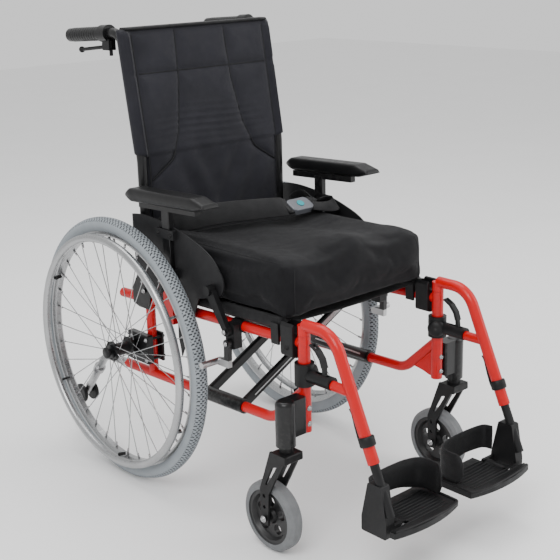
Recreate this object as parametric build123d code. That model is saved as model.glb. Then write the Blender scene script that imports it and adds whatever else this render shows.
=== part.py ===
"""Folding manual wheelchair, millimetres, +Z up, +X the user's left, -Y forward.

The origin is the middle of the bounding box on the floor. The parts are laid out with the rear axle at
y = 0 and moved by SHIFT_Y when they are written. Right-hand parts have negative x, and the left-hand
parts are their mirror images.
"""

from build123d import *

import math
import os

# Overall layout
SHIFT_Y = 247.5         # from the rear axle to the origin
SIDE_X = 199.5          # centre of each side frame
TUBE_R = 11.0           # side-frame and back-post tube
WALL = 1.8              # wall of the frame tubes
FRONT_Y = -543.0        # upright front tube
FRONT_R = 12.5
FRONT_TOP_Z = 454.0
FRONT_BOTTOM_Z = 254.0
REAR_Y = -37.0          # upright rear tube and the back post above it
REAR_R = 12.0
STUB_Y = 68.0           # rear ends of the lower and upper tubes
SOCKET_R = 9.2          # reamed rear ends of those tubes
LOWER_SOCKET = 50.0     # depth of the reaming in the lower tube
UPPER_SOCKET = 40.0     # and in the upper one
SLOPE = 0.0318          # rise per millimetre forward of the lower tube and of every fold axis
LOW_Z0 = 238.7          # lower tube at the rear axle
UPPER_SLOPE = 0.0423
UPPER_Z0 = 414.9        # upper tube at the rear axle
BEND_Y = -450.0         # the lower tube turns up to the front tube here

# Fold
RAIL_R = 10.0
RAIL_Z0 = 447.7         # seat rail, continued to the rear axle
RAIL_BACK_Y = -72.0
RAIL_FRONT_Y = -500.0
BAR_WIDE = 22.0
BAR_THICK = 12.0
BARS_A = (-235.0, -349.0)
BARS_B = (-250.0, -334.0)
FOOT_R = 15.5
FIT = 0.1               # radial clearance of every running fit

# Rear wheel
WHEEL_X = 262.3
WHEEL_R = 305.0
TYRE_R = 17.5
RIM_IN_R = 262.0
RIM_OUT_R = 274.0
RIM_HALF = 12.0
HANDRIM_X = 296.0
HANDRIM_R = 263.0
HANDRIM_TUBE_R = 9.0
HUB_R = 15.0
FLANGE_R = 23.0
FLANGE_OUT_X = 285.0
FLANGE_IN_X = 240.0
AXLE_R = 6.0
SPOKES = 36
SPOKE_R = 1.0

# Caster
CASTER_X = 255.6
STEM_Y = -546.0
CASTER_Y = -503.7
CASTER_R = 75.0
CASTER_HALF = 16.0
HOUSING_R = 20.0
HOUSING_BOTTOM_Z = 241.0
HOUSING_TOP_Z = 336.0
CROWN_Z = 222.0
STEM_R = 6.0

# Back and handles
BACK_BEND_Z = 735.0
HANDLE_Y = 8.0
HANDLE_Z = 1006.0
HANDLE_END_Y = 212.0
HANDLE_END_Z = 993.0
GRIP_R = 15.0

# Hanger and footplate
HANGER_R = 12.0
HANGER_TOP_Z = 475.0
HANGER_KNEE_Y = -624.0
HANGER_END = (-728.0, 244.0)
STEM_TUBE_R = 9.0
HINGE_X = 165.0
HINGE_Z = 118.0
PIN_R = 4.0
PLATE_THICK = 12.0
PLATE_FRONT_Y = -800.0
PLATE_BACK_Y = -685.0
PLATE_INNER_X = 20.0
BLOCK_Y = (-770.0, -706.0)
BLOCK_Z = (104.0, 208.0)
BLOCK_X = (188.0, 211.0)

# Armrest and side panel
PAD_X = (215.4, 258.4)
PAD_UNDER = [(-285, 665), (-64, 655)]       # underside of the pad as (y, z)
PAD_OVER = [(-42, 670), (-62, 684), (-276, 693), (-316, 683), (-318, 675)]
POST_X = 226.0
POST_Y = -155.0
PANEL_X = 222.0
PANEL_THICK = 3.0

# Parking brake
BRAKE_Y = -352.0
LEVER_PIVOT_Z = 424.0
SHOE_PIVOT_Z = 398.0
SHOE_Y = -316.0
SHOE_Z = 354.0


def low_z(y):
    return LOW_Z0 - SLOPE * y


def upper_z(y):
    return UPPER_Z0 - UPPER_SLOPE * y


def rail_z(y):
    return RAIL_Z0 - SLOPE * y


# Small builders

def rod(start, end, radius, bore=0.0):
    """A round bar or tube from one point to another."""
    start, end = Vector(*start), Vector(*end)
    section = Plane(origin=start, z_dir=end - start) * Circle(radius)
    if bore:
        section -= Plane(origin=start, z_dir=end - start) * Circle(bore)
    return extrude(section, amount=(end - start).length)


def swept(points, radius, bends):
    """A round bar along straight runs joined by arcs."""
    path = FilletPolyline(*points, radius=bends)
    return sweep(Plane(origin=path @ 0, z_dir=path % 0) * Circle(radius), path=path)


def block(x, y, z):
    """A box between pairs of coordinates."""
    size = [max(pair) - min(pair) for pair in (x, y, z)]
    middle = [sum(pair) / 2 for pair in (x, y, z)]
    return Pos(*middle) * Box(*size)


def side_sheet(outline, x_low, x_high):
    """A flat piece whose outline is given as (y, z) points, between two x values."""
    face = make_face(Plane.YZ * Polyline(*outline, close=True))
    return Pos(x_low, 0, 0) * extrude(face, amount=x_high - x_low, dir=(1, 0, 0))


def ring_about_x(profile, y, z):
    """A body of revolution about an axis along X. The profile is (x, radius) points."""
    face = make_face(Plane.XY * Polyline(*profile, close=True))
    return Pos(0, y, z) * revolve(face, axis=Axis.X)


def softened(shape, radius, edges=None):
    """The shape with its edges rounded."""
    return fillet(edges if edges is not None else shape.edges(), radius)


# Side frame

def side_frame():
    x = -SIDE_X
    lower = [
        (x, STUB_Y, low_z(STUB_Y)),
        (x, BEND_Y, low_z(BEND_Y)),
        (x, FRONT_Y + 3, low_z(BEND_Y) + 84),
    ]
    upper = [(x, STUB_Y, upper_z(STUB_Y)), (x, FRONT_Y, upper_z(FRONT_Y))]
    rear = [(x, REAR_Y, low_z(REAR_Y)), (x, REAR_Y, upper_z(REAR_Y))]
    front = [(x, FRONT_Y, FRONT_BOTTOM_Z), (x, FRONT_Y, FRONT_TOP_Z)]
    frame = swept(lower, TUBE_R, 60)
    frame += rod(*upper, TUBE_R)
    frame += rod(*rear, REAR_R - 1)
    frame += rod(*front, FRONT_R)
    gusset = [(-470, 268), (-505, 262), (-524, 256), (FRONT_Y, 256), (FRONT_Y, 345), (-530, 338)]
    frame += side_sheet(gusset, x - 2.5, x + 2.5)
    frame -= swept(lower, SOCKET_R - 0.6, 60)
    frame -= rod(*upper, SOCKET_R - 0.6)
    frame -= rod(
        (x, STUB_Y + 1, low_z(STUB_Y + 1)),
        (x, STUB_Y - LOWER_SOCKET, low_z(STUB_Y - LOWER_SOCKET)),
        SOCKET_R,
    )
    frame -= rod(
        (x, STUB_Y + 1, upper_z(STUB_Y + 1)),
        (x, STUB_Y - UPPER_SOCKET, upper_z(STUB_Y - UPPER_SOCKET)),
        SOCKET_R,
    )
    frame -= rod(*rear, REAR_R - 1 - WALL)
    frame -= rod(*front, FRONT_R - WALL)
    return frame + armrest_socket()


def armrest_socket():
    """The receiver that the armrest post slides in, welded outside the upper tube."""
    top = 468.0
    bottom = 396.0
    shell = block((-POST_X - 10, -POST_X + 10), (POST_Y - 16, POST_Y + 16), (bottom, top))
    web = block((-POST_X + 9, -SIDE_X - TUBE_R + 1), (POST_Y - 12, POST_Y + 12), (412, 430))
    bore = block((-POST_X - 7.4, -POST_X + 7.4), (POST_Y - 13.4, POST_Y + 13.4), (bottom + 3, top + 1))
    return shell + web - bore


def axle_mount():
    """The bracket clamped on the rear tube, with the rear axle."""
    z = WHEEL_R
    outside = (-SIDE_X - 30, -SIDE_X - 12.2)
    bracket = softened(block(outside, (REAR_Y - 21, 18), (z - 34, z + 34)), 3)
    strap = block((-SIDE_X + 12.2, -SIDE_X + 17), (REAR_Y - 21, REAR_Y + 21), (z - 34, z + 34))
    bolts = [
        rod((-SIDE_X - 16, REAR_Y + dy, z + dz), (-SIDE_X + 21, REAR_Y + dy, z + dz), 3)
        for dy in (-16, 16)
        for dz in (-24, 24)
    ]
    axle = rod((-SIDE_X - 16, 0, z), (-298, 0, z), AXLE_R)
    collar = rod((-SIDE_X - 29, 0, z), (-235.0, 0, z), 11)
    cap = rod((-296.2, 0, z), (-301, 0, z), 10)
    shape = bracket + strap + axle + collar + cap
    for bolt in bolts:
        shape += bolt
    return shape


# Back

def back_path(x):
    return [
        (x, REAR_Y, 429.5),
        (x, REAR_Y, BACK_BEND_Z),
        (x, HANDLE_Y, HANDLE_Z),
        (x, HANDLE_END_Y - 4, handle_axis(HANDLE_END_Y - 4)[2]),
    ]


BACK_BENDS = [120, 40]


def back_post():
    x = -SIDE_X
    post = swept(back_path(x), TUBE_R, BACK_BENDS) - swept(back_path(x), TUBE_R - WALL, BACK_BENDS)
    outline = [(-60, 432), (-60, 478), (-45, 486), (-20, 486), (8, 440), (8, 404), (-14, 398), (-50, 398)]
    for near, far in ((11.4, 14.4), (-14.4, -11.4)):
        post += side_sheet(outline, x + near, x + far)
    post += rod((x - 17, REAR_Y, 462), (x + 17, REAR_Y, 462), 4)
    post += rod((x - 17, REAR_Y, 440), (x + 17, REAR_Y, 440), 4)
    return post


def handle_axis(along):
    """A point on the push handle, by its y."""
    share = (along - HANDLE_Y) / (HANDLE_END_Y - HANDLE_Y)
    return (-SIDE_X, along, HANDLE_Z + share * (HANDLE_END_Z - HANDLE_Z))


def handle_grip():
    """Rubber grip with its end cap, and the lever housing in front of it."""
    grip = rod(handle_axis(84), handle_axis(HANDLE_END_Y), GRIP_R)
    housing = rod(handle_axis(56), handle_axis(84), 18.5)
    x, y, z = handle_axis(62)
    ears = block((x - 9, x - 4.6), (y - 13, y + 13), (z - 36, z - 12))
    ears += block((x + 4.6, x + 9), (y - 13, y + 13), (z - 36, z - 12))
    adjuster = rod((x, y - 7, z - 16), (x, y - 7, z - 48), 4)
    shape = grip + housing + ears + adjuster
    return shape - rod(handle_axis(54), handle_axis(HANDLE_END_Y - 3.5), TUBE_R)


def attendant_lever():
    """Squeeze lever under the grip, with a ball at its end."""
    x, y, z = handle_axis(62)
    pivot_y = y + 5
    pivot_z = z - 28
    lever = rod((x - 4.4, pivot_y, pivot_z), (x + 4.4, pivot_y, pivot_z), 6)
    lever += rod((x, pivot_y + 2, pivot_z - 1), (x, pivot_y + 104, pivot_z - 12), 4)
    lever += Pos(x, pivot_y + 104, pivot_z - 12) * Sphere(7)
    lever += block((x - 4.4, x + 4.4), (pivot_y - 5, pivot_y + 16), (pivot_z - 6, pivot_z + 5))
    return lever


def upholstery_outline():
    lean = math.atan2(HANDLE_Y - REAR_Y, HANDLE_Z - BACK_BEND_Z)
    across = Vector(0, math.cos(lean), -math.sin(lean))
    top_z = 990.0
    top_y = REAR_Y + (top_z - BACK_BEND_Z) * math.tan(lean)
    half = 16.0
    bottom_z = 488.0
    return [
        (REAR_Y - half, bottom_z),
        (REAR_Y + half, bottom_z),
        (REAR_Y + half, BACK_BEND_Z - half * math.tan(lean / 2)),
        (top_y + half * across.Y, top_z + half * across.Z),
        (top_y - half * across.Y, top_z - half * across.Z),
        (REAR_Y - half, BACK_BEND_Z + half * math.tan(lean / 2)),
    ]


def back_upholstery():
    half = SIDE_X + TUBE_R + 4
    panel = side_sheet(upholstery_outline(), -half, half)
    for x in (-SIDE_X, SIDE_X):
        panel -= swept(back_path(x), TUBE_R + 0.4, BACK_BENDS)
        panel -= block((x - 17.6, x + 17.6), (-70, 0), (480, 489))
    return panel


# Armrest

def armrest_post():
    post = block((-POST_X - 7, -POST_X + 7), (POST_Y - 13, POST_Y + 13), (401, 652))
    front_z, rear_z = PAD_UNDER[0][1], PAD_UNDER[1][1]
    outline = [(-66, rear_z - 14), (-66, rear_z - 0.4), (-262, front_z - 1.6), (-262, front_z - 15)]
    carrier = side_sheet(outline, -POST_X - 9, -POST_X + 5)
    return softened(post, 2, post.edges().filter_by(Axis.Z)) + carrier


def armrest_pad():
    outline = PAD_UNDER + [(-46, 661)] + PAD_OVER
    pad = side_sheet(outline, -PAD_X[1], -PAD_X[0])
    top = pad.faces().filter_by(lambda face: face.normal_at().Z > 0.95)
    return softened(pad, 4, top.edges())


def side_panel():
    """Clothes guard: a flat plate whose rear edge follows the wheel and whose front edge is curved."""
    radius = 182.0
    low = 20.0
    high = 75.0
    arc_points = [
        (
            -radius * math.cos(math.radians(angle)),
            WHEEL_R + radius * math.sin(math.radians(angle)),
        )
        for angle in (low - 14, (low + high) / 2 - 4, high + 6)
    ]
    with BuildLine(Plane.YZ) as outline:
        ThreePointArc(*arc_points)
        Line(arc_points[2], (-24, 560))
        Line((-24, 560), (-24, 618))
        Spline((-24, 618), (-70, 622), (-133, 617), (-195, 606), (-248, 590), (-296, 568), (-322, 541))
        ThreePointArc((-322, 541), (-334, 515), (-316, 486))
        Line((-316, 486), (-250, 470))
        Line((-250, 470), arc_points[0])
    panel = Pos(-PANEL_X - PANEL_THICK, 0, 0) * extrude(
        make_face(outline.line), amount=PANEL_THICK, dir=(1, 0, 0)
    )
    opening = block((-POST_X - 12, -POST_X + 12), (POST_Y - 17.5, POST_Y + 17.5), (300, 655))
    return panel - opening + panel_clips()


def panel_clips():
    """Two plates that carry the guard across the armrest post."""
    x = (-POST_X - 10.5, -POST_X - 7.4)
    lower = block(x, (POST_Y - 30, POST_Y + 30), (500, 520))
    upper = block(x, (POST_Y - 30, POST_Y + 30), (586, 606))
    feet = [
        block((-POST_X - 8, -PANEL_X), (POST_Y + dy - 3.5, POST_Y + dy + 3.5), (z, z + 20))
        for dy in (-25, 25)
        for z in (500, 586)
    ]
    shape = lower + upper
    for foot in feet:
        shape += foot
    return shape


# Parking brake

def brake_body():
    """Clamp on the upper tube with the plate that carries the lever and the shoe arm."""
    z = upper_z(BRAKE_Y)
    clamp = rod((-SIDE_X, BRAKE_Y - 16, z + 0.68), (-SIDE_X, BRAKE_Y + 16, z - 0.68), 14)
    cheek = block((-228, -SIDE_X - 8), (BRAKE_Y - 14, BRAKE_Y + 14), (z - 44, z + 10))
    shape = clamp + softened(cheek, 3, cheek.edges().filter_by(Axis.X))
    tube_front = (-SIDE_X, BRAKE_Y - 30, upper_z(BRAKE_Y - 30))
    tube_back = (-SIDE_X, BRAKE_Y + 30, upper_z(BRAKE_Y + 30))
    shape -= rod(tube_front, tube_back, TUBE_R)
    shape += rod((-227, BRAKE_Y, LEVER_PIVOT_Z), (-244, BRAKE_Y, LEVER_PIVOT_Z), 4)
    shape += rod((-227, BRAKE_Y, SHOE_PIVOT_Z), (-241, BRAKE_Y, SHOE_PIVOT_Z), 4)
    return shape


def brake_lever():
    x = (-240.0, -229.0)
    lever = rod((x[0], BRAKE_Y, LEVER_PIVOT_Z), (x[1], BRAKE_Y, LEVER_PIVOT_Z), 10)
    arm = [
        (BRAKE_Y - 9, LEVER_PIVOT_Z),
        (BRAKE_Y + 9, LEVER_PIVOT_Z),
        (BRAKE_Y + 54, 484),
        (BRAKE_Y + 62, 504),
        (BRAKE_Y + 50, 514),
        (BRAKE_Y + 36, 500),
    ]
    lever += side_sheet(arm, x[0], x[1])
    knob = rod((-246.5, BRAKE_Y + 50, 502), (-228.0, BRAKE_Y + 50, 502), 10.5)
    return lever + knob - rod((-250, BRAKE_Y, LEVER_PIVOT_Z), (-225, BRAKE_Y, LEVER_PIVOT_Z), 4 + FIT)


def brake_shoe():
    x = (-239.5, -229.0)
    arm = rod((x[0], BRAKE_Y, SHOE_PIVOT_Z), (x[1], BRAKE_Y, SHOE_PIVOT_Z), 9)
    outline = [
        (BRAKE_Y - 7, SHOE_PIVOT_Z),
        (BRAKE_Y - 5, SHOE_Z - 8),
        (SHOE_Y - 4, SHOE_Z - 8),
        (SHOE_Y - 4, SHOE_Z + 6),
        (BRAKE_Y + 8, SHOE_Z + 10),
        (BRAKE_Y + 7, SHOE_PIVOT_Z),
    ]
    arm += side_sheet(outline, x[0], x[1])
    arm += rod((-231, SHOE_Y - 6, SHOE_Z), (-282, SHOE_Y - 6, SHOE_Z), 7)
    return arm - rod((-250, BRAKE_Y, SHOE_PIVOT_Z), (-225, BRAKE_Y, SHOE_PIVOT_Z), 4 + FIT)


# Rear wheel

def wheel_tyre():
    face = Pos(-WHEEL_X, WHEEL_R - TYRE_R) * Circle(TYRE_R)
    tyre = Pos(0, 0, WHEEL_R) * revolve(face, axis=Axis.X)
    seat = [
        (-WHEEL_X - RIM_HALF - 0.3, RIM_IN_R),
        (-WHEEL_X + RIM_HALF + 0.3, RIM_IN_R),
        (-WHEEL_X + RIM_HALF + 0.3, RIM_OUT_R + 0.2),
        (-WHEEL_X - RIM_HALF - 0.3, RIM_OUT_R + 0.2),
    ]
    return tyre - ring_about_x(seat, 0, WHEEL_R)


def wheel_rim():
    profile = [
        (-WHEEL_X - RIM_HALF, RIM_OUT_R),
        (-WHEEL_X - RIM_HALF, RIM_OUT_R - 5),
        (-WHEEL_X - RIM_HALF / 2, RIM_IN_R),
        (-WHEEL_X + RIM_HALF / 2, RIM_IN_R),
        (-WHEEL_X + RIM_HALF, RIM_OUT_R - 5),
        (-WHEEL_X + RIM_HALF, RIM_OUT_R),
        (-WHEEL_X + RIM_HALF - 3, RIM_OUT_R),
        (-WHEEL_X + RIM_HALF / 2, RIM_OUT_R - 6),
        (-WHEEL_X - RIM_HALF / 2, RIM_OUT_R - 6),
        (-WHEEL_X - RIM_HALF + 3, RIM_OUT_R),
    ]
    return ring_about_x(profile, 0, WHEEL_R)


def on_wheel(x, radius, angle):
    """A point of the rear wheel, by its distance and angle from the axle."""
    turn = math.radians(angle)
    return (x, radius * math.cos(turn), WHEEL_R + radius * math.sin(turn))


def wheel_spokes():
    """The hub, and its spokes laced from two flanges, half leading and half trailing."""
    profile = [
        (-292, AXLE_R + FIT),
        (-292, HUB_R),
        (-FLANGE_OUT_X - 2, HUB_R),
        (-FLANGE_OUT_X - 2, FLANGE_R),
        (-FLANGE_OUT_X + 2, FLANGE_R),
        (-FLANGE_OUT_X + 6, HUB_R),
        (-FLANGE_IN_X - 6, HUB_R),
        (-FLANGE_IN_X - 2, FLANGE_R),
        (-FLANGE_IN_X + 2, FLANGE_R),
        (-FLANGE_IN_X + 2, HUB_R),
        (-236, HUB_R),
        (-236, AXLE_R + FIT),
    ]
    solids = [ring_about_x(profile, 0, WHEEL_R)]
    for number in range(SPOKES):
        outer_flange = number % 2 == 0
        leading = number % 4 < 2
        at_rim = number * 360 / SPOKES
        at_hub = at_rim + (62 if leading else -62)
        flange = -FLANGE_OUT_X if outer_flange else -FLANGE_IN_X
        face = 3.4 if leading else -3.4
        start = on_wheel(flange + face, FLANGE_R - 4, at_hub)
        end = on_wheel(-WHEEL_X + (-2 if outer_flange else 2), RIM_IN_R - 0.9, at_rim)
        solids.append(rod(start, end, SPOKE_R))
    return Compound([solid.solid() for solid in solids])


def wheel_handrim():
    face = Pos(-HANDRIM_X, HANDRIM_R) * Circle(HANDRIM_TUBE_R)
    hollow = Pos(-HANDRIM_X, HANDRIM_R) * Circle(HANDRIM_TUBE_R - 1.5)
    rim = Pos(0, 0, WHEEL_R) * revolve(face - hollow, axis=Axis.X)
    for number in range(6):
        angle = 30 + number * 60
        start = on_wheel(-HANDRIM_X + HANDRIM_TUBE_R - 1, HANDRIM_R - 3, angle)
        end = on_wheel(-WHEEL_X - RIM_HALF + 3.1, RIM_IN_R, angle)
        rim += rod(start, end, 2.8)
    return rim


# Caster

def caster_housing():
    """The bearing housing outside the front tube."""
    housing = rod((-CASTER_X, STEM_Y, HOUSING_BOTTOM_Z), (-CASTER_X, STEM_Y, HOUSING_TOP_Z), HOUSING_R)
    housing = softened(housing, 9, housing.faces().sort_by(Axis.Z)[-1].edges())
    bridge = block((-CASTER_X, -SIDE_X - 11.2), (STEM_Y - 14, STEM_Y + 16), (258, 334))
    housing += softened(bridge, 5, bridge.edges().filter_by(Axis.Z))
    housing -= rod((-SIDE_X, FRONT_Y, 240), (-SIDE_X, FRONT_Y, 345), FRONT_R)
    bore = rod((-CASTER_X, STEM_Y, 236), (-CASTER_X, STEM_Y, 310), STEM_R + FIT)
    return housing - bore


def fork_arm(x_low, x_high):
    """One slotted arm of the fork, with three axle heights."""
    outline = [
        (STEM_Y - 22, CROWN_Z + 6),
        (STEM_Y + 22, CROWN_Z + 6),
        (CASTER_Y + 12, 138),
        (CASTER_Y + 10, 62),
        (CASTER_Y - 10, 62),
        (CASTER_Y - 14, 132),
    ]
    arm = side_sheet(outline, x_low, x_high)
    slot = [(STEM_Y + 3, 200), (STEM_Y + 16, 196), (CASTER_Y - 4, 152), (CASTER_Y - 10, 152)]
    arm -= side_sheet(slot, x_low - 1, x_high + 1)
    for height in (101, 125):
        arm -= rod((x_low - 1, CASTER_Y, height), (x_high + 1, CASTER_Y, height), 4)
    return arm


def caster_fork():
    gap = CASTER_HALF + 3
    fork = fork_arm(-CASTER_X - gap - 5, -CASTER_X - gap)
    fork += fork_arm(-CASTER_X + gap, -CASTER_X + gap + 5)
    crown = block(
        (-CASTER_X - gap - 5, -CASTER_X + gap + 5),
        (STEM_Y - 22, STEM_Y + 22),
        (CROWN_Z - 12, CROWN_Z + 6),
    )
    fork += softened(crown, 4, crown.edges().filter_by(Axis.X))
    fork += rod((-CASTER_X, STEM_Y, CROWN_Z), (-CASTER_X, STEM_Y, HOUSING_BOTTOM_Z - 1), 14)
    fork += rod((-CASTER_X, STEM_Y, CROWN_Z), (-CASTER_X, STEM_Y, 305), STEM_R)
    axle = rod((-CASTER_X - gap - 8, CASTER_Y, CASTER_R), (-CASTER_X + gap + 8, CASTER_Y, CASTER_R), 4)
    return fork + axle


def caster_wheel():
    """The solid tyre and the five-spoke hub, two bodies that turn together."""
    tyre_face = [
        (-CASTER_X - CASTER_HALF, CASTER_R - 17),
        (-CASTER_X - CASTER_HALF, CASTER_R - 7),
        (-CASTER_X - CASTER_HALF + 6, CASTER_R - 1),
        (-CASTER_X, CASTER_R),
        (-CASTER_X + CASTER_HALF - 6, CASTER_R - 1),
        (-CASTER_X + CASTER_HALF, CASTER_R - 7),
        (-CASTER_X + CASTER_HALF, CASTER_R - 17),
    ]
    hub_face = [
        (-CASTER_X - 13, 4 + FIT),
        (-CASTER_X - 13, 14),
        (-CASTER_X - 6, 17),
        (-CASTER_X - 6, 45),
        (-CASTER_X - 14, 50),
        (-CASTER_X - 14, CASTER_R - 17.2),
        (-CASTER_X + 14, CASTER_R - 17.2),
        (-CASTER_X + 14, 50),
        (-CASTER_X + 6, 45),
        (-CASTER_X + 6, 17),
        (-CASTER_X + 13, 14),
        (-CASTER_X + 13, 4 + FIT),
    ]
    tyre = ring_about_x(tyre_face, CASTER_Y, CASTER_R)
    hub = ring_about_x(hub_face, CASTER_Y, CASTER_R)
    for number in range(5):
        turn = math.radians(90 + number * 72)
        y = CASTER_Y + 31 * math.cos(turn)
        z = CASTER_R + 31 * math.sin(turn)
        hub -= rod((-CASTER_X - 20, y, z), (-CASTER_X + 20, y, z), 10.5)
    return Compound([tyre.solid(), hub.solid()])


# Hanger and footplate

def leg_direction():
    """The unit direction down the lower part of the hanger."""
    start = Vector(0, HANGER_KNEE_Y, HANGER_TOP_Z)
    return (Vector(0, *HANGER_END) - start).normalized()


def leg_point(height):
    """A point of the hanger's lower run, by its z."""
    share = (HANGER_TOP_Z - height) / (HANGER_TOP_Z - HANGER_END[1])
    return (-SIDE_X, HANGER_KNEE_Y + share * (HANGER_END[0] - HANGER_KNEE_Y), height)


def hanger_tube():
    path = [
        (-SIDE_X, FRONT_Y - 2, HANGER_TOP_Z),
        (-SIDE_X, HANGER_KNEE_Y, HANGER_TOP_Z),
        (-SIDE_X, *HANGER_END),
    ]
    tube = swept(path, HANGER_R, 58)
    tube += rod((-SIDE_X, -621.5, 371), leg_point(371), 10)
    tube += rod((-SIDE_X, FRONT_Y, HANGER_TOP_Z), (-SIDE_X, FRONT_Y, FRONT_TOP_Z + 0.6), FRONT_R)
    tube += rod((-SIDE_X, FRONT_Y, HANGER_TOP_Z), (-SIDE_X, FRONT_Y, 400), FRONT_R - WALL - 0.2)
    return tube - rod(leg_point(420), leg_point(230), STEM_TUBE_R + FIT)


def hanger_latch():
    """The arm that hooks round the front tube and takes the hanger's stub."""
    hook = rod((-SIDE_X, FRONT_Y, 352), (-SIDE_X, FRONT_Y, 398), 20)
    arm = rod((-SIDE_X, FRONT_Y - 8, 374), (-SIDE_X, -621, 374), 13.5)
    shape = hook + arm
    shape -= rod((-SIDE_X, FRONT_Y, 345), (-SIDE_X, FRONT_Y, 405), FRONT_R + FIT)
    shape -= block((-SIDE_X - 4.4, -SIDE_X + 4.4), (-612, -578), (379, 400))
    return shape


def hanger_lever():
    """Flat release lever standing up from the arm's slot, with a finger slot near its tip."""
    x = -SIDE_X
    pivot = rod((x - 4, -600, 385), (x + 4, -600, 385), 4.5)
    root = side_sheet([(-604, 385), (-602, 404), (-595, 404), (-596, 385)], x - 4, x + 4)
    blade = [(-603, 401), (-597, 419), (-584, 434), (-566, 443), (-563, 439), (-579, 430), (-591, 416), (-596, 401)]
    lever = root + side_sheet(blade, x - 6.5, x + 6.5)
    lever -= block((x - 3, x + 3), (-583, -569), (420, 450))
    return pivot + lever


def footplate_stem():
    """The length-adjusting inner tube and the block at its foot, with two hinge ears."""
    stem = rod(leg_point(330), leg_point(150), STEM_TUBE_R)
    low, high = BLOCK_Z
    shoulder = low + 30
    front, rear = BLOCK_Y
    outline = [(front, low), (rear, low), (rear, shoulder), (-722, high), (-756, high), (front, shoulder)]
    foot = side_sheet(outline, -BLOCK_X[1], -BLOCK_X[0])
    foot = softened(foot, 4, foot.edges().filter_by(Axis.X))
    ears = [
        block((-BLOCK_X[0] - 1, -HINGE_X + 9), span, (HINGE_Z - 9, HINGE_Z + 9))
        for span in ((BLOCK_Y[0], BLOCK_Y[0] + 7), (BLOCK_Y[1] - 7, BLOCK_Y[1]))
    ]
    shape = stem + foot
    for ear in ears:
        shape += ear
    return shape - rod((-HINGE_X, -780, HINGE_Z), (-HINGE_X, -690, HINGE_Z), PIN_R + FIT)


def footplate_pin():
    pin = rod((-HINGE_X, BLOCK_Y[0] - 2, HINGE_Z), (-HINGE_X, BLOCK_Y[1] + 2, HINGE_Z), PIN_R)
    for start, end in ((BLOCK_Y[0] - 4, BLOCK_Y[0] - 0.5), (BLOCK_Y[1] + 0.5, BLOCK_Y[1] + 4)):
        pin += rod((-HINGE_X, start, HINGE_Z), (-HINGE_X, end, HINGE_Z), 6.5)
    return pin


def footplate():
    low = HINGE_Z - PLATE_THICK / 2
    inner = -PLATE_INNER_X
    outer = -HINGE_X + 13
    front_corner = -SIDE_X - 8
    with BuildLine() as outline:
        Line((outer, PLATE_BACK_Y), (inner, PLATE_BACK_Y))
        Line((inner, PLATE_BACK_Y), (inner, PLATE_FRONT_Y + 14))
        ThreePointArc((inner, PLATE_FRONT_Y + 14), (-90, PLATE_FRONT_Y), (front_corner, PLATE_FRONT_Y + 12))
        Line((front_corner, PLATE_FRONT_Y + 12), (front_corner, BLOCK_Y[0] - 6))
        Line((front_corner, BLOCK_Y[0] - 6), (outer, BLOCK_Y[0] - 6))
        Line((outer, BLOCK_Y[0] - 6), (outer, PLATE_BACK_Y))
    plate = Pos(0, 0, low) * extrude(make_face(outline.line), amount=PLATE_THICK, dir=(0, 0, 1))
    knuckle_span = (BLOCK_Y[0] + 8, BLOCK_Y[1] - 8)
    plate += block((-HINGE_X, outer + 4), knuckle_span, (low, low + PLATE_THICK))
    plate += rod((-HINGE_X, knuckle_span[0], HINGE_Z), (-HINGE_X, knuckle_span[1], HINGE_Z), 9)
    return plate - rod((-HINGE_X, -790, HINGE_Z), (-HINGE_X, -690, HINGE_Z), PIN_R + FIT)


def heel_loop():
    """Upright band round the back and the inner side of the footplate."""
    low = HINGE_Z + PLATE_THICK / 2 + 0.5
    high = 196.0
    outer = (-180.0, -690.0)
    wall = 5.0
    back = block((-178, -26), (-690, -690 + wall), (low + 14, high))
    inner = block((-26 - wall, -26), (-786, -690 + wall), (low, high))
    start = block((-178, -178 + wall), (-702, -690 + wall), (low + 14, high))
    return back + inner + start


# Cross brace and seat

def bar(y, from_x, to_x):
    """One brace bar, from a lower tube to the opposite seat rail."""
    start = Vector(from_x, y, low_z(y))
    end = Vector(to_x, y, rail_z(y))
    plane = Plane(origin=start, x_dir=Vector(0, -1, SLOPE), z_dir=end - start)
    section = plane * RectangleRounded(BAR_THICK, BAR_WIDE, 4)
    return extrude(section, amount=(end - start).length)


def along_fold(x, y, height):
    """A point on a line parallel to the fold axes, where height gives its z at each y."""
    return (x, y, height(y))


def cross_brace(side, bars):
    """Two bars with a foot sleeve on one lower tube and a seat rail on the other side."""
    foot_x = side * SIDE_X
    rail_x = -foot_x
    spread = (min(bars) - 10, max(bars) + 10)
    foot = rod(along_fold(foot_x, spread[0], low_z), along_fold(foot_x, spread[1], low_z), FOOT_R)
    rail = rod(along_fold(rail_x, RAIL_FRONT_Y, rail_z), along_fold(rail_x, RAIL_BACK_Y, rail_z), RAIL_R)
    rail -= rod(
        along_fold(rail_x, RAIL_FRONT_Y - 1, rail_z),
        along_fold(rail_x, RAIL_BACK_Y + 1, rail_z),
        RAIL_R - WALL,
    )
    shape = foot + rail
    for y in bars:
        shape += bar(y, foot_x, rail_x)
    bore = rod(
        along_fold(foot_x, spread[0] - 5, low_z), along_fold(foot_x, spread[1] + 5, low_z), TUBE_R + FIT
    )
    inside = rod(
        along_fold(rail_x, spread[0] - 5, rail_z), along_fold(rail_x, spread[1] + 5, rail_z), RAIL_R - WALL
    )
    return shape - bore - inside


def pivot_z(y):
    return (low_z(y) + rail_z(y)) / 2


def pivot_rod(y_front, y_back, radius):
    return rod(along_fold(0, y_front, pivot_z), along_fold(0, y_back, pivot_z), radius)


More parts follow.
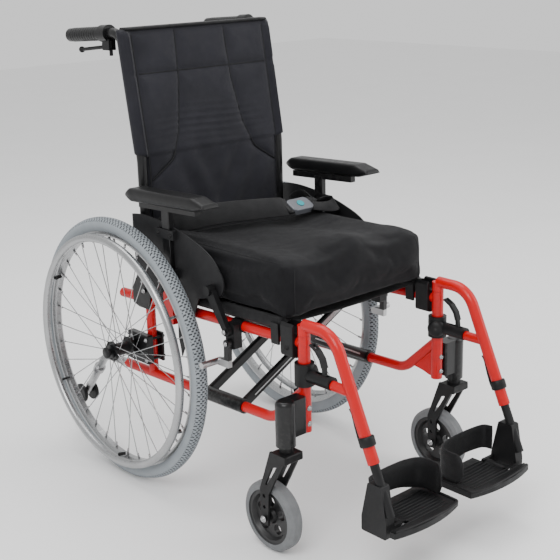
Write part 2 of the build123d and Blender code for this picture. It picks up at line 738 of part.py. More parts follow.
def cross_brace_a():
    """The brace from the right lower tube, with both pivot bolts pressed in."""
    shape = cross_brace(-1, BARS_A)
    shape += pivot_rod(BARS_A[0] + 9, BARS_B[0] - 10, 5)
    shape += pivot_rod(BARS_B[0] - 7.5, BARS_B[0] - 12, 9)
    shape += pivot_rod(BARS_A[0] + 5, BARS_A[0] + 10, 9)
    shape += pivot_rod(BARS_A[1] - 9, BARS_B[1] + 10, 5)
    shape += pivot_rod(BARS_B[1] + 7.5, BARS_B[1] + 12, 9)
    shape += pivot_rod(BARS_A[1] - 5, BARS_A[1] - 10, 9)
    return shape


def cross_brace_b():
    shape = cross_brace(1, BARS_B)
    for y in BARS_B:
        shape -= pivot_rod(y - 12, y + 12, 5 + FIT)
    return shape


def seat_sling():
    """Fabric seat with a sleeve round each rail."""
    front = RAIL_FRONT_Y + 14
    back = RAIL_BACK_Y - 8
    sheet = Plane(origin=(0, front, rail_z(front)), x_dir=(1, 0, 0), z_dir=(0, 1, -SLOPE))
    length = (back - front) * math.hypot(1, SLOPE)
    shape = extrude(sheet * Rectangle(2 * SIDE_X, 3), amount=length)
    for x in (-SIDE_X, SIDE_X):
        shape += rod(along_fold(x, front, rail_z), along_fold(x, back, rail_z), RAIL_R + 2.2)
    for x in (-SIDE_X, SIDE_X):
        shape -= rod(along_fold(x, front - 5, rail_z), along_fold(x, back + 5, rail_z), RAIL_R + 0.3)
    for x, bars in ((SIDE_X, BARS_A), (-SIDE_X, BARS_B)):
        inward = -math.copysign(1, x)
        for y in bars:
            height = (rail_z(y) - 40, rail_z(y) + 15)
            shape -= block((x - inward * 14, x + inward * 40), (y - 7, y + 7), height)
    return shape


def cushion():
    bottom = 13.4
    outline = [
        (-76, rail_z(-76) + bottom),
        (-512, rail_z(-512) + bottom),
        (-514, 560),
        (-498, 582),
        (-468, 590),
        (-420, 583),
        (-224, 583),
        (-76, 580),
    ]
    shape = side_sheet(outline, -198, 198)
    ends = shape.faces().filter_by(Axis.X)
    return softened(shape, 6, ends[0].edges() + ends[1].edges())


def lap_belt():
    """Webbing that lies across the back of the cushion."""
    low = 584.5
    rear = [(-190, -78), (0, -110), (115, -170), (192, -140)]
    front = [(192, -190), (115, -222), (0, -160), (-190, -124)]
    with BuildLine() as outline:
        Polyline(*rear, *front, rear[0])
    return Pos(0, 0, low) * extrude(make_face(outline.line), amount=3, dir=(0, 0, 1))


BUCKLE = (115.0, -197.0, 598.0)
BUCKLE_TILT = 28.0


def on_buckle(shape):
    """Places a shape drawn about the buckle's own middle, tilted towards the sitter's knees."""
    return Pos(*BUCKLE) * Rotation(BUCKLE_TILT, 0, 0) * shape


def belt_buckle():
    shell = block((-32, 32), (-20, 20), (0, 15))
    shell = softened(shell, 12, shell.edges().filter_by(Axis.Z))
    shell = softened(shell, 3, shell.faces().sort_by(Axis.Z)[-1].edges())
    return on_buckle(shell - rod((0, 0, 9), (0, 0, 20), 9.3))


def buckle_button():
    return on_buckle(rod((0, 0, 11.5), (0, 0, 16.5), 9))


# Anti-tipper

def antitip_tube():
    """Bent tube plugged on the right lower tube's rear end, with its locking ring."""
    x = -SIDE_X
    axis_z = low_z(STUB_Y)
    path = [
        (x, STUB_Y + 1, low_z(STUB_Y + 1)),
        (x, 160, low_z(160)),
        (x, 262, 108),
    ]
    tube = swept(path, 9.5, 52)
    sleeve = rod((x, STUB_Y - 34, low_z(STUB_Y - 34)), (x, STUB_Y + 3, axis_z - 0.1), TUBE_R - WALL - FIT)
    run = Vector(0, 262 - 160, 108 - low_z(160)).normalized()
    middle = Vector(x, 196, low_z(160) + run.Z / run.Y * 36)
    ring = rod(tuple(middle - run * 7), tuple(middle + run * 7), 14)
    axle = rod((x - 21, 262, 108), (x + 21, 262, 108), 4)
    return tube + sleeve + ring + axle


def antitip_wheels():
    wheels = []
    for side in (-1, 1):
        near = -SIDE_X + side * 11.5
        far = -SIDE_X + side * 20.5
        wheel = rod((near, 262, 108), (far, 262, 108), 24)
        wheel = softened(wheel, 2)
        wheels.append((wheel - rod((near - side, 262, 108), (far + side, 262, 108), 4 + FIT)).solid())
    return Compound(wheels)


SIDE_PARTS = {
    "side_frame": side_frame,
    "axle_mount": axle_mount,
    "back_post": back_post,
    "handle_grip": handle_grip,
    "attendant_lever": attendant_lever,
    "armrest_post": armrest_post,
    "armrest_pad": armrest_pad,
    "side_panel": side_panel,
    "brake_body": brake_body,
    "brake_lever": brake_lever,
    "brake_shoe": brake_shoe,
    "wheel_tyre": wheel_tyre,
    "wheel_rim": wheel_rim,
    "wheel_spokes": wheel_spokes,
    "wheel_handrim": wheel_handrim,
    "caster_housing": caster_housing,
    "caster_fork": caster_fork,
    "caster_wheel": caster_wheel,
    "hanger_tube": hanger_tube,
    "hanger_latch": hanger_latch,
    "hanger_lever": hanger_lever,
    "footplate_stem": footplate_stem,
    "footplate_pin": footplate_pin,
    "footplate": footplate,
    "heel_loop": heel_loop,
}

SINGLE_PARTS = {
    "cross_brace_a": cross_brace_a,
    "cross_brace_b": cross_brace_b,
    "seat_sling": seat_sling,
    "cushion": cushion,
    "back_upholstery": back_upholstery,
    "lap_belt": lap_belt,
    "belt_buckle": belt_buckle,
    "buckle_button": buckle_button,
    "antitip_tube": antitip_tube,
    "antitip_wheels": antitip_wheels,
}


def write(shape, name):
    export_step(Pos(0, SHIFT_Y, 0) * shape, "parts/" + name + ".step")


def main():
    os.makedirs("parts", exist_ok=True)
    for name, build in SIDE_PARTS.items():
        right = build()
        write(right, "right_" + name)
        write(mirror(right, about=Plane.YZ), "left_" + name)
    for name, build in SINGLE_PARTS.items():
        write(build(), name)


if __name__ == "__main__":
    main()
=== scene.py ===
"""Looks for the folding wheelchair: soft goods, tread, straps, fittings, materials, light and camera."""

import bpy
import math

from mathutils import Matrix, Vector, noise


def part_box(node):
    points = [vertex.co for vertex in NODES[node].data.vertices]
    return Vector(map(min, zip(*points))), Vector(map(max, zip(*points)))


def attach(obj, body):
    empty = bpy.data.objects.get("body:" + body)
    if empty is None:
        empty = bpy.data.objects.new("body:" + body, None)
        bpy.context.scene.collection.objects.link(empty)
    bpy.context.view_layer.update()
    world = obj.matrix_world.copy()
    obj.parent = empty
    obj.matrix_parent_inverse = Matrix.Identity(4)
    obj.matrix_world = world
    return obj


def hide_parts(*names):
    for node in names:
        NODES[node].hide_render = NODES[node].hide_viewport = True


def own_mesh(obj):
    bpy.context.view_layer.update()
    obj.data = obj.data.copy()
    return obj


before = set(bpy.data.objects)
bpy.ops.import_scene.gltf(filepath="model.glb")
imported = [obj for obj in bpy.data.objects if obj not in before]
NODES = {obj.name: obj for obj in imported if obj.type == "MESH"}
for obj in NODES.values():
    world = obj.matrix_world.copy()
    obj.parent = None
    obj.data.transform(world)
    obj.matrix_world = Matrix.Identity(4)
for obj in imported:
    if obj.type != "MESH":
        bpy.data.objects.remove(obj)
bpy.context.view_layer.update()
SIDES = {"right": -1, "left": 1}
MM = 0.001


def centre(node):
    low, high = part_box(node)
    return (Vector(low) + Vector(high)) / 2


AXLE = centre("right_wheel_rim")
CASTER = centre("right_caster_wheel")
SIDE_X = -centre("right_back_post").x
REAR_Y = AXLE.y - 37 * MM       # upright part of the back posts
FRONT_Y = AXLE.y - 543 * MM     # upright front tubes
BACK_BEND_Z = 735 * MM
BACK_LEAN = math.tan(math.atan2(45, 271))


# ---------------------------------------------------------------- materials

class Nodes:
    """A material's node tree, with a short way to add and join nodes."""

    def __init__(self, name):
        self.material = bpy.data.materials.new(name)
        self.material.use_nodes = True
        self.tree = self.material.node_tree
        self.shader = self.tree.nodes["Principled BSDF"]
        self.place = self.add("ShaderNodeTexCoord").outputs["Object"]

    def add(self, kind, **inputs):
        node = self.tree.nodes.new(kind)
        for key, value in inputs.items():
            self.feed(node, key, value)
        return node

    def feed(self, node, key, value):
        socket = node.inputs[key.replace("_", " ")] if isinstance(key, str) else node.inputs[key]
        if isinstance(value, bpy.types.NodeSocket):
            self.tree.links.new(value, socket)
        else:
            socket.default_value = value

    def math(self, operation, first, second=0.0, third=None):
        node = self.tree.nodes.new("ShaderNodeMath")
        node.operation = operation
        self.feed(node, 0, first)
        self.feed(node, 1, second)
        if third is not None:
            self.feed(node, 2, third)
        return node.outputs[0]

    def noise(self, scale, detail=3.0, roughness=0.5, stretch=None):
        place = self.place
        if stretch:
            place = self.add("ShaderNodeMapping", Vector=place, Scale=stretch).outputs[0]
        return self.add(
            "ShaderNodeTexNoise", Vector=place, Scale=scale, Detail=detail, Roughness=roughness,
        ).outputs["Fac"]

    def span(self, value, low, high, to_low, to_high):
        node = self.tree.nodes.new("ShaderNodeMapRange")
        for key, number in zip((0, 1, 2, 3, 4), (value, low, high, to_low, to_high)):
            self.feed(node, key, number)
        return node.outputs[0]

    def blend(self, share, first, second):
        node = self.tree.nodes.new("ShaderNodeMix")
        node.data_type = "RGBA"
        self.feed(node, 0, share)
        self.feed(node, 6, first)
        self.feed(node, 7, second)
        return node.outputs[2]

    def parts(self):
        split = self.add("ShaderNodeSeparateXYZ", Vector=self.place)
        return split.outputs["X"], split.outputs["Y"], split.outputs["Z"]

    def wheel_radius(self, axis_point):
        _, y, z = self.parts()
        dy = self.math("SUBTRACT", y, axis_point.y)
        dz = self.math("SUBTRACT", z, axis_point.z)
        squares = self.math("ADD", self.math("MULTIPLY", dy, dy), self.math("MULTIPLY", dz, dz))
        return self.math("SQRT", squares)

    def bump(self, height, depth, below=None):
        node = self.add("ShaderNodeBump", Strength=1.0, Distance=depth, Height=height)
        if below is not None:
            self.feed(node, "Normal", below)
        return node.outputs[0]


def rgb(red, green, blue):
    return (red, green, blue, 1.0)


def scaled(colour, factor):
    return rgb(*(channel * factor for channel in colour[:3]))


def coated(
    name, colour, roughness, grain=900.0, depth=0.00006, variation=0.12, metallic=0.0, coat=0.0,
    wear=None,
):
    """Paint, moulded plastic or bare metal: mottled colour, uneven gloss, fine grain and worn high spots."""
    n = Nodes(name)
    broad = n.noise(14.0, 4.0, 0.6)
    base = n.blend(
        n.span(broad, 0.3, 0.7, 0.0, 1.0), scaled(colour, 1 - variation), scaled(colour, 1 + variation),
    )
    if wear is not None:
        edge = n.add("ShaderNodeNewGeometry").outputs["Pointiness"]
        patchy = n.math(
            "MULTIPLY", n.span(edge, 0.54, 0.62, 0.0, 1.0), n.span(n.noise(120.0), 0.45, 0.6, 0.0, 1.0),
        )
        base = n.blend(patchy, base, wear)
    n.feed(n.shader, "Base Color", base)
    n.feed(
        n.shader, "Roughness",
        n.span(n.noise(55.0, 5.0), 0.25, 0.75, roughness * 0.8, min(1.0, roughness * 1.25)),
    )
    n.shader.inputs["Metallic"].default_value = metallic
    n.shader.inputs["Specular IOR Level"].default_value = 0.5 if metallic else 0.26
    n.shader.inputs["Coat Weight"].default_value = coat
    n.shader.inputs["Coat Roughness"].default_value = 0.06
    n.feed(n.shader, "Normal", n.bump(n.noise(grain, 2.0), depth))
    return n.material


def brushed(name, colour, roughness, stretch):
    """Drawn metal with fine lines along one direction."""
    n = Nodes(name)
    lines = n.noise(700.0, 3.0, 0.6, stretch)
    base = n.blend(n.span(n.noise(20.0), 0.3, 0.7, 0.0, 1.0), scaled(colour, 0.92), scaled(colour, 1.04))
    n.feed(n.shader, "Base Color", base)
    n.shader.inputs["Metallic"].default_value = 1.0
    n.feed(n.shader, "Roughness", n.span(lines, 0.3, 0.7, roughness * 0.75, roughness * 1.3))
    n.feed(n.shader, "Normal", n.bump(lines, 0.00003))
    return n.material


def cloth(name, colour, sheen, thread=0.0011, crumple=0.0012, second=None):
    """Woven fabric: two crossing sets of threads, slow shading and small creases."""
    n = Nodes(name)
    x, y, z = n.parts()
    turn = 2 * math.pi / thread
    warp = n.math("SINE", n.math("MULTIPLY", n.math("ADD", x, n.math("MULTIPLY", y, 0.35)), turn))
    weft = n.math("SINE", n.math("MULTIPLY", n.math("ADD", z, n.math("MULTIPLY", y, 0.8)), turn))
    weave = n.math("MULTIPLY", warp, weft)
    slow = n.noise(9.0, 4.0, 0.6)
    base = n.blend(
        n.span(slow, 0.3, 0.7, 0.0, 1.0), scaled(colour, 0.86), second or scaled(colour, 1.16),
    )
    base = n.blend(n.span(weave, -1.0, 1.0, 0.0, 0.22), base, scaled(colour, 0.5))
    n.feed(n.shader, "Base Color", base)
    n.feed(n.shader, "Roughness", n.span(n.noise(40.0), 0.3, 0.7, 0.62, 0.82))
    n.shader.inputs["Sheen Weight"].default_value = sheen
    n.shader.inputs["Sheen Roughness"].default_value = 0.4
    n.shader.inputs["Specular IOR Level"].default_value = 0.16
    creases = n.bump(n.noise(26.0, 5.0, 0.6), crumple)
    n.feed(n.shader, "Normal", n.bump(weave, 0.00012, creases))
    return n.material


def webbing(name, colour):
    """Narrow woven strap with cross ribs."""
    n = Nodes(name)
    x, y, z = n.parts()
    along = n.math("ADD", n.math("MULTIPLY", x, 0.8), n.math("ADD", y, z))
    ribs = n.math("SINE", n.math("MULTIPLY", along, 2 * math.pi / 0.0024))
    base = n.blend(n.span(ribs, -1.0, 1.0, 0.0, 0.6), colour, scaled(colour, 0.45))
    n.feed(n.shader, "Base Color", base)
    n.feed(n.shader, "Roughness", n.span(n.noise(60.0), 0.3, 0.7, 0.5, 0.72))
    n.shader.inputs["Sheen Weight"].default_value = 0.05
    n.shader.inputs["Specular IOR Level"].default_value = 0.25
    n.feed(n.shader, "Normal", n.bump(ribs, 0.00022, n.bump(n.noise(300.0), 0.0001)))
    return n.material


def by_radius(name, axis_point, limit, inner, outer):
    """A wheel part whose inner and outer zones are two finishes: (colour, roughness, metallic)."""
    n = Nodes(name)
    zone = n.span(n.wheel_radius(axis_point), limit - 0.0004, limit + 0.0004, 0.0, 1.0)
    mottle = n.span(n.noise(60.0, 4.0), 0.3, 0.7, 0.86, 1.12)
    colours = []
    for finish in (inner, outer):
        tint = n.tree.nodes.new("ShaderNodeVectorMath")
        tint.operation = "SCALE"
        tint.inputs[0].default_value = finish[0][:3]
        n.feed(tint, "Scale", mottle)
        colours.append(tint.outputs[0])
    n.feed(n.shader, "Base Color", n.blend(zone, colours[0], colours[1]))
    n.feed(n.shader, "Roughness", n.span(zone, 0.0, 1.0, inner[1], outer[1]))
    n.feed(n.shader, "Metallic", n.span(zone, 0.0, 1.0, inner[2], outer[2]))
    n.feed(n.shader, "Normal", n.bump(n.noise(700.0), 0.00006))
    return n.material


BLACK = rgb(0.005, 0.005, 0.0055)
SILVER = rgb(0.36, 0.365, 0.37)

red_paint = coated(
    "red_paint", rgb(0.5, 0.0008, 0.002), 0.34, 500.0, 0.00003, 0.03, coat=0.22,
    wear=rgb(0.44, 0.004, 0.005),
)
black_paint = coated(
    "black_paint", BLACK, 0.34, 900.0, 0.00004, 0.12, coat=0.2, wear=rgb(0.02, 0.02, 0.02),
)
black_plastic = coated("black_plastic", rgb(0.006, 0.006, 0.0065), 0.46, 1400.0, 0.00012, 0.18)
panel_plastic = coated("panel_plastic", rgb(0.011, 0.011, 0.012), 0.5, 1100.0, 0.00014, 0.12)
pad_skin = coated("pad_skin", rgb(0.007, 0.007, 0.0075), 0.4, 1000.0, 0.00018, 0.15)
grip_rubber = coated("grip_rubber", rgb(0.006, 0.006, 0.0065), 0.3, 1200.0, 0.0001, 0.2)
buckle_plastic = coated("buckle_plastic", rgb(0.12, 0.125, 0.14), 0.34, 900.0, 0.00004, 0.08, coat=0.3)
teal_plastic = coated("teal_plastic", rgb(0.0, 0.26, 0.3), 0.22, 500.0, 0.00002, 0.1, coat=0.6)
rim_metal = brushed("rim_metal", rgb(0.4, 0.405, 0.41), 0.3, (0.05, 1.0, 1.0))
# bare metal on the anti-tip tubes; also used for the painted highlight strips on the brace bars
bare_metal = brushed("bare_metal", rgb(0.44, 0.44, 0.445), 0.3, (1.0, 0.08, 0.3))
steel = brushed("steel", rgb(0.36, 0.36, 0.365), 0.26, (0.3, 1.0, 1.0))
back_cloth = cloth("back_cloth", rgb(0.017, 0.017, 0.022), 0.12)
seat_cloth = cloth("seat_cloth", rgb(0.006, 0.006, 0.0072), 0.05)
binding = webbing("binding", rgb(0.006, 0.006, 0.007))
strap = webbing("strap", rgb(0.007, 0.007, 0.008))
thread = coated("thread", rgb(0.008, 0.008, 0.009), 0.7, 2000.0, 0.0001, 0.2)
def tyre_material():
    """Pale rubber, with painted shade in the bottom of the tread grooves."""
    n = Nodes("tyre_rubber")
    x, _, _ = n.parts()
    low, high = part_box("left_wheel_tyre")
    line = (high[2] - low[2]) / 2 - (high[0] - low[0]) / 2
    radial = n.math("SUBTRACT", n.wheel_radius(AXLE), line)
    across = n.math("SUBTRACT", n.math("ABSOLUTE", x), (high[0] + low[0]) / 2)
    reach = n.math(
        "SQRT", n.math("ADD", n.math("MULTIPLY", radial, radial), n.math("MULTIPLY", across, across)),
    )
    # painted shade: where the surface sinks into a tread groove the colour goes near black
    crown = n.span(reach, 0.01655, 0.0172, 0.0, 1.0)
    mottle = n.span(n.noise(30.0, 4.0), 0.3, 0.7, 0.0, 1.0)
    rubber = n.blend(mottle, rgb(0.24, 0.265, 0.285), rgb(0.27, 0.295, 0.315))
    n.feed(n.shader, "Base Color", n.blend(crown, rgb(0.035, 0.038, 0.042), rubber))
    n.feed(n.shader, "Roughness", n.span(n.noise(80.0), 0.3, 0.7, 0.55, 0.72))
    n.shader.inputs["Specular IOR Level"].default_value = 0.3
    n.feed(n.shader, "Normal", n.bump(n.noise(800.0), 0.0001))
    return n.material


def brake_material():
    """Black linkage whose lowest part, the bar against the tyre, is bare metal."""
    n = Nodes("brake_finish")
    _, _, z = n.parts()
    low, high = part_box("right_brake_shoe")
    black = n.span(z, low[2] + 0.0152, low[2] + 0.0156, 0.0, 1.0)
    n.feed(n.shader, "Base Color", n.blend(black, rgb(0.46, 0.46, 0.465), BLACK))
    n.feed(n.shader, "Metallic", n.math("SUBTRACT", 1.0, black))
    n.feed(n.shader, "Roughness", n.span(n.noise(70.0), 0.3, 0.7, 0.3, 0.42))
    n.feed(n.shader, "Normal", n.bump(n.noise(900.0), 0.00006))
    return n.material


tyre_rubber = tyre_material()
brake_finish = brake_material()
spoke_metal = by_radius("spoke_metal", AXLE, 0.0262, (BLACK, 0.35, 0.2), (SILVER, 0.22, 1.0))
caster_rubber = by_radius(
    "caster_rubber", CASTER, 0.0579, (rgb(0.006, 0.006, 0.0065), 0.42, 0.0),
    (rgb(0.13, 0.135, 0.14), 0.6, 0.0),
)

FINISHES = {
    "side_frame": red_paint,
    "axle_mount": black_paint,
    "back_post": black_paint,
    "handle_grip": grip_rubber,
    "attendant_lever": black_plastic,
    "armrest_post": black_paint,
    "armrest_pad": pad_skin,
    "side_panel": panel_plastic,
    "brake_body": black_plastic,
    "brake_lever": black_plastic,
    "brake_shoe": brake_finish,
    "wheel_rim": rim_metal,
    "wheel_spokes": spoke_metal,
    "wheel_handrim": rim_metal,
    "caster_housing": black_paint,
    "caster_fork": black_plastic,
    "caster_wheel": caster_rubber,
    "hanger_tube": red_paint,
    "hanger_latch": black_plastic,
    "hanger_lever": black_plastic,
    "footplate_stem": black_plastic,
    "footplate_pin": steel,
    "footplate": black_plastic,
    "cross_brace_a": black_paint,
    "cross_brace_b": black_paint,
    "belt_buckle": buckle_plastic,
    "buckle_button": teal_plastic,
    "antitip_tube": bare_metal,
    "antitip_wheels": black_plastic,
}


def paint(obj, material):
    obj.data.materials.clear()
    obj.data.materials.append(material)


for name, obj in NODES.items():
    kind = name.replace("right_", "").replace("left_", "")
    if kind in FINISHES:
        paint(obj, FINISHES[kind])


# ---------------------------------------------------------------- mesh helpers

def add_mesh(name, points, faces, material, body, smooth=True):
    mesh = bpy.data.meshes.new(name)
    mesh.from_pydata([tuple(p) for p in points], [], faces)
    mesh.update()
    obj = bpy.data.objects.new(name, mesh)
    bpy.context.scene.collection.objects.link(obj)
    for polygon in mesh.polygons:
        polygon.use_smooth = smooth
    return dress(obj, material, body)


def dress(obj, material, body):
    paint(obj, material)
    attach(obj, body)
    return obj


def ring_faces(rings, size, closed=False):
    """Quads between rings of points, with the ends capped unless the rings close on themselves."""
    faces = []
    count = rings if closed else rings - 1
    for r in range(count):
        for k in range(size):
            a = r * size + k
            b = r * size + (k + 1) % size
            c = ((r + 1) % rings) * size + (k + 1) % size
            d = ((r + 1) % rings) * size + k
            faces.append((a, b, c, d))
    if not closed:
        faces.append(tuple(range(size - 1, -1, -1)))
        faces.append(tuple((rings - 1) * size + k for k in range(size)))
    return faces


def lofted(name, rings, material, body, closed=False, smooth=True):
    points = [p for ring in rings for p in ring]
    return add_mesh(
        name, points, ring_faces(len(rings), len(rings[0]), closed), material, body, smooth,
    )


def smooth_line(points, steps=10):
    """Points along a Catmull-Rom line through the given ones."""
    points = [Vector(p) for p in points]
    padded = [2 * points[0] - points[1]] + points + [2 * points[-1] - points[-2]]
    line = []
    for a, b, c, d in zip(padded, padded[1:], padded[2:], padded[3:]):
        for k in range(steps):
            t = k / steps
            line.append(
                0.5 * (
                    2 * b + (c - a) * t + (
                        2 * a - 5 * b + 4 * c - d
                    ) * t * t + (3 * b - a - 3 * c + d) * t ** 3
                )
            )
    line.append(points[-1])
    return line


def swept_section(points, normals, section):
    """Rings of a flat section carried along a line. The section is (across, out) pairs."""
    rings = []
    for k, point in enumerate(points):
        ahead = points[min(k + 1, len(points) - 1)] - points[max(k - 1, 0)]
        out = normals[k] if isinstance(normals, list) else normals
        across = ahead.cross(out).normalized()
        lift = across.cross(ahead).normalized()
        rings.append([point + across * a + lift * o for a, o in section])
    return rings


def round_section(radius, count=12):
    return [
        (
            radius * math.cos(t * 2 * math.pi / count), radius * math.sin(t * 2 * math.pi / count),
        ) for t in range(count)
    ]


def band_section(width, thick):
    half, edge = width / 2, thick / 2
    return [
        (-half, 0), (-half + edge, -edge), (half - edge, -edge), (half, 0), (half - edge, edge),
        (-half + edge, edge)
    ]


def cord_line(name, points, radius, material, body, normal=Vector((0, -1, 0.01)), steps=8):
    line = smooth_line(points, steps)
    return lofted(name, swept_section(line, normal, round_section(radius, 8)), material, body)


def bolt(name, place, direction, radius, height, body, material=None):
    """A button-head screw with a washer and a hex recess."""
    profile = [
        (1.35, 0.0), (1.35, 0.22), (1.05, 0.24), (1.02, 0.5), (0.86, 0.85), (0.55, 1.0), (0.45, 1.0),
        (0.45, 0.6), (0.0, 0.6)
    ]
    turn = Vector((0, 0, 1)).rotation_difference(Vector(direction).normalized()).to_matrix()
    count = 18
    rings = []
    for r, h in profile:
        ring = []
        for k in range(count):
            angle = k * 2 * math.pi / count
            ring.append(
                Vector(place) + turn @ Vector(
                    (r * radius * math.cos(angle), r * radius * math.sin(angle), h * height)
                )
            )
        rings.append(ring)
    return lofted(name, rings, material or steel, body)


def apply_modifiers(obj):
    bpy.context.view_layer.update()
    graph = bpy.context.evaluated_depsgraph_get()
    mesh = bpy.data.meshes.new_from_object(obj.evaluated_get(graph))
    obj.modifiers.clear()
    obj.data = mesh
    return obj


def unlinked(name, points, faces):
    mesh = bpy.data.meshes.new(name)
    mesh.from_pydata([tuple(p) for p in points], [], faces)
    mesh.update()
    obj = bpy.data.objects.new(name, mesh)
    bpy.context.scene.collection.objects.link(obj)
    return obj


# ---------------------------------------------------------------- soft goods

def inflate(obj, voxel, cap, pressure=4.0):
    """Remeshes a closed form and lets cloth under pressure round it, with no point moving past cap."""
    remesh = obj.modifiers.new("remesh", "REMESH")
    remesh.mode = "VOXEL"
    remesh.voxel_size = voxel
    apply_modifiers(obj)
    rest = [v.co.copy() for v in obj.data.vertices]
    cloth_mod = obj.modifiers.new("cloth", "CLOTH")
    settings = cloth_mod.settings
    settings.use_pressure = True
    settings.uniform_pressure_force = pressure
    settings.effector_weights.gravity = 0
    settings.quality = 5
    cloth_mod.point_cache.frame_end = 20
    scene = bpy.context.scene
    for step in range(1, 21):
        scene.frame_set(step)
    apply_modifiers(obj)
    scene.frame_set(1)
    for vertex, before in zip(obj.data.vertices, rest):
        move = vertex.co - before
        if move.length > cap:
            vertex.co = before + move * (cap / move.length)
    relax = obj.modifiers.new("relax", "SMOOTH")
    relax.factor = 0.5
    relax.iterations = 3
    divide = obj.modifiers.new("divide", "SUBSURF")
    divide.levels = divide.render_levels = 1
    apply_modifiers(obj)
    for polygon in obj.data.polygons:
        polygon.use_smooth = True
    return obj


def seat_top(u, v):
    """Height of the cushion above its flat level: u across, -1 to 1, and v from front 0 to back 1."""
    front = math.exp(-((v - 0.12) / 0.16) ** 2)
    trough = math.exp(-((abs(u) - 0.5) / 0.3) ** 2)
    ridge = math.exp(-(u / 0.26) ** 2)
    well = math.exp(-((v - 0.7) / 0.3) ** 2) * math.exp(-(u / 0.7) ** 4)
    return 0.012 * front * ridge - 0.010 * trough * (1 - 0.6 * v) + 0.002 * front - 0.016 * well


def make_cushion():
    low, high = (Vector(p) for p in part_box("cushion"))
    across, along, up = 40, 44, 12
    inset = 0.003
    grid = {}
    points, faces = [], []

    def vertex(i, j, k):
        if (i, j, k) in grid:
            return grid[(i, j, k)]
        u = 2 * i / across - 1
        v = j / along
        w = k / up
        x = -0.2075 + 0.4105 * i / across
        y = (low.y + inset) + (high.y - low.y - 2 * inset) * v
        floor_z = low.z + 0.001 + 0.0318 * (high.y - y)
        top_z = high.z - 0.006 + seat_top(u, v) - 0.010 * (1 - v) ** 6 * abs(u) ** 3 * (u > 0) - 0.004 * abs(u) ** 6
        z = floor_z + (top_z - floor_z) * w
        waist = 0.004 * math.sin(math.pi * w)
        x -= math.copysign(waist * (abs(u) ** 8), u)
        y += waist * ((1 - v) ** 8) * (1 - u * u)
        corner = (abs(u) ** 10) * ((1 - v) ** 12)
        y += 0.012 * corner + 0.010 * (w ** 5) * (1 - v) ** 8
        grid[(i, j, k)] = len(points)
        points.append(Vector((x, y, z)))
        return grid[(i, j, k)]

    for i in range(across):
        for j in range(along):
            faces.append(
                (vertex(i, j, up), vertex(i + 1, j, up), vertex(i + 1, j + 1, up), vertex(i, j + 1, up))
            )
            faces.append(
                (vertex(i, j + 1, 0), vertex(i + 1, j + 1, 0), vertex(i + 1, j, 0), vertex(i, j, 0))
            )
    for i in range(across):
        for k in range(up):
            faces.append(
                (vertex(i, 0, k), vertex(i + 1, 0, k), vertex(i + 1, 0, k + 1), vertex(i, 0, k + 1))
            )
            faces.append(
                (
                    vertex(i + 1, along, k), vertex(i, along, k), vertex(i, along, k + 1),
                    vertex(i + 1, along, k + 1),
                )
            )
    for j in range(along):
        for k in range(up):
            faces.append(
                (vertex(0, j + 1, k), vertex(0, j, k), vertex(0, j, k + 1), vertex(0, j + 1, k + 1))
            )
            faces.append(
                (
                    vertex(across, j, k), vertex(across, j + 1, k), vertex(across, j + 1, k + 1),
                    vertex(across, j, k + 1),
                )
            )
    obj = unlinked("cushion_cover", points, faces)
    inflate(obj, 0.005, 0.006)
    crease(obj)
    dress(obj, seat_cloth, "seat")
    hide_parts("cushion")
    return obj


def crease(obj):
    """Small pulls in the cover, strongest at the back and near the corners."""
    low, high = (Vector(p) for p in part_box("cushion"))
    before = [(v.co.copy(), v.normal.copy()) for v in obj.data.vertices]
    for vertex, (p, normal) in zip(obj.data.vertices, before):
        back = max(0.0, (p.y - low.y) / (high.y - low.y) - 0.35)
        fold = noise.noise(Vector((p.x * 9, p.y * 26, p.z * 9)))
        fine = noise.noise(Vector((p.x * 28, p.y * 34, p.z * 30)))
        vertex.co = p + normal * (0.0022 * fold * back + 0.0005 * fine)


cushion = make_cushion()


def back_plane(z):
    """The y of the back posts' plane at a height."""
    return REAR_Y + max(0.0, z - BACK_BEND_Z) * BACK_LEAN


def seam_x(side, z):
    """Where the curved vertical seams of the back run."""
    seam = [
        (0.575, 0.215), (0.675, 0.205), (0.693, 0.172), (0.729, 0.118), (0.789, 0.093), (0.893, 0.075),
        (0.995, 0.070), (1.02, 0.07),
    ]
    for (z0, x0), (z1, x1) in zip(seam, seam[1:]):
        if z <= z1:
            t = (z - z0) / (z1 - z0)
            return side * (x0 + (x1 - x0) * t)
    return side * 0.07


SEAM_Z = 0.917
BACK_LOW, BACK_HIGH = 0.508, 1.012


def back_depth(x, z):
    """How far the padding stands out in front of the posts' plane."""
    nearest = min(abs(x - seam_x(1, z)), abs(x - seam_x(-1, z)))
    nearest = min(nearest, abs(z - SEAM_Z), abs(abs(x) - 0.186) * 0.9, abs(z - 1.006))
    pad = 0.0075 * (1 - math.exp(-nearest / 0.011))
    middle = math.cos(min(1.0, abs(x) / 0.2) * math.pi / 2)
    hollow = 0.010 * middle * math.sin(
        math.pi * min(1.0, max(0.0, (z - BACK_LOW) / (BACK_HIGH - BACK_LOW)))
    )
    folds = 0.0
    low = max(0.0, min(1.0, (0.79 - z) / 0.1)) * middle
    if low:
        lean_left = math.sin((x * 0.9 + (z - 0.7) * 0.45) * 95)
        lean_right = math.sin((x * 0.9 - (z - 0.7) * 0.45) * 95)
        share = 0.5 + 0.5 * math.tanh(x * 25)
        folds = 0.0032 * low * (lean_left * (1 - share) + lean_right * share)
        folds += 0.002 * low * noise.noise(Vector((x * 22, 0, z * 30)))
    level = max(0.0, 1 - abs(z - 0.80) / 0.06) * middle
    folds += 0.0012 * level * math.sin(z * 420 + math.sin(x * 18))
    return 0.006 + pad - hollow * 0.55 + folds


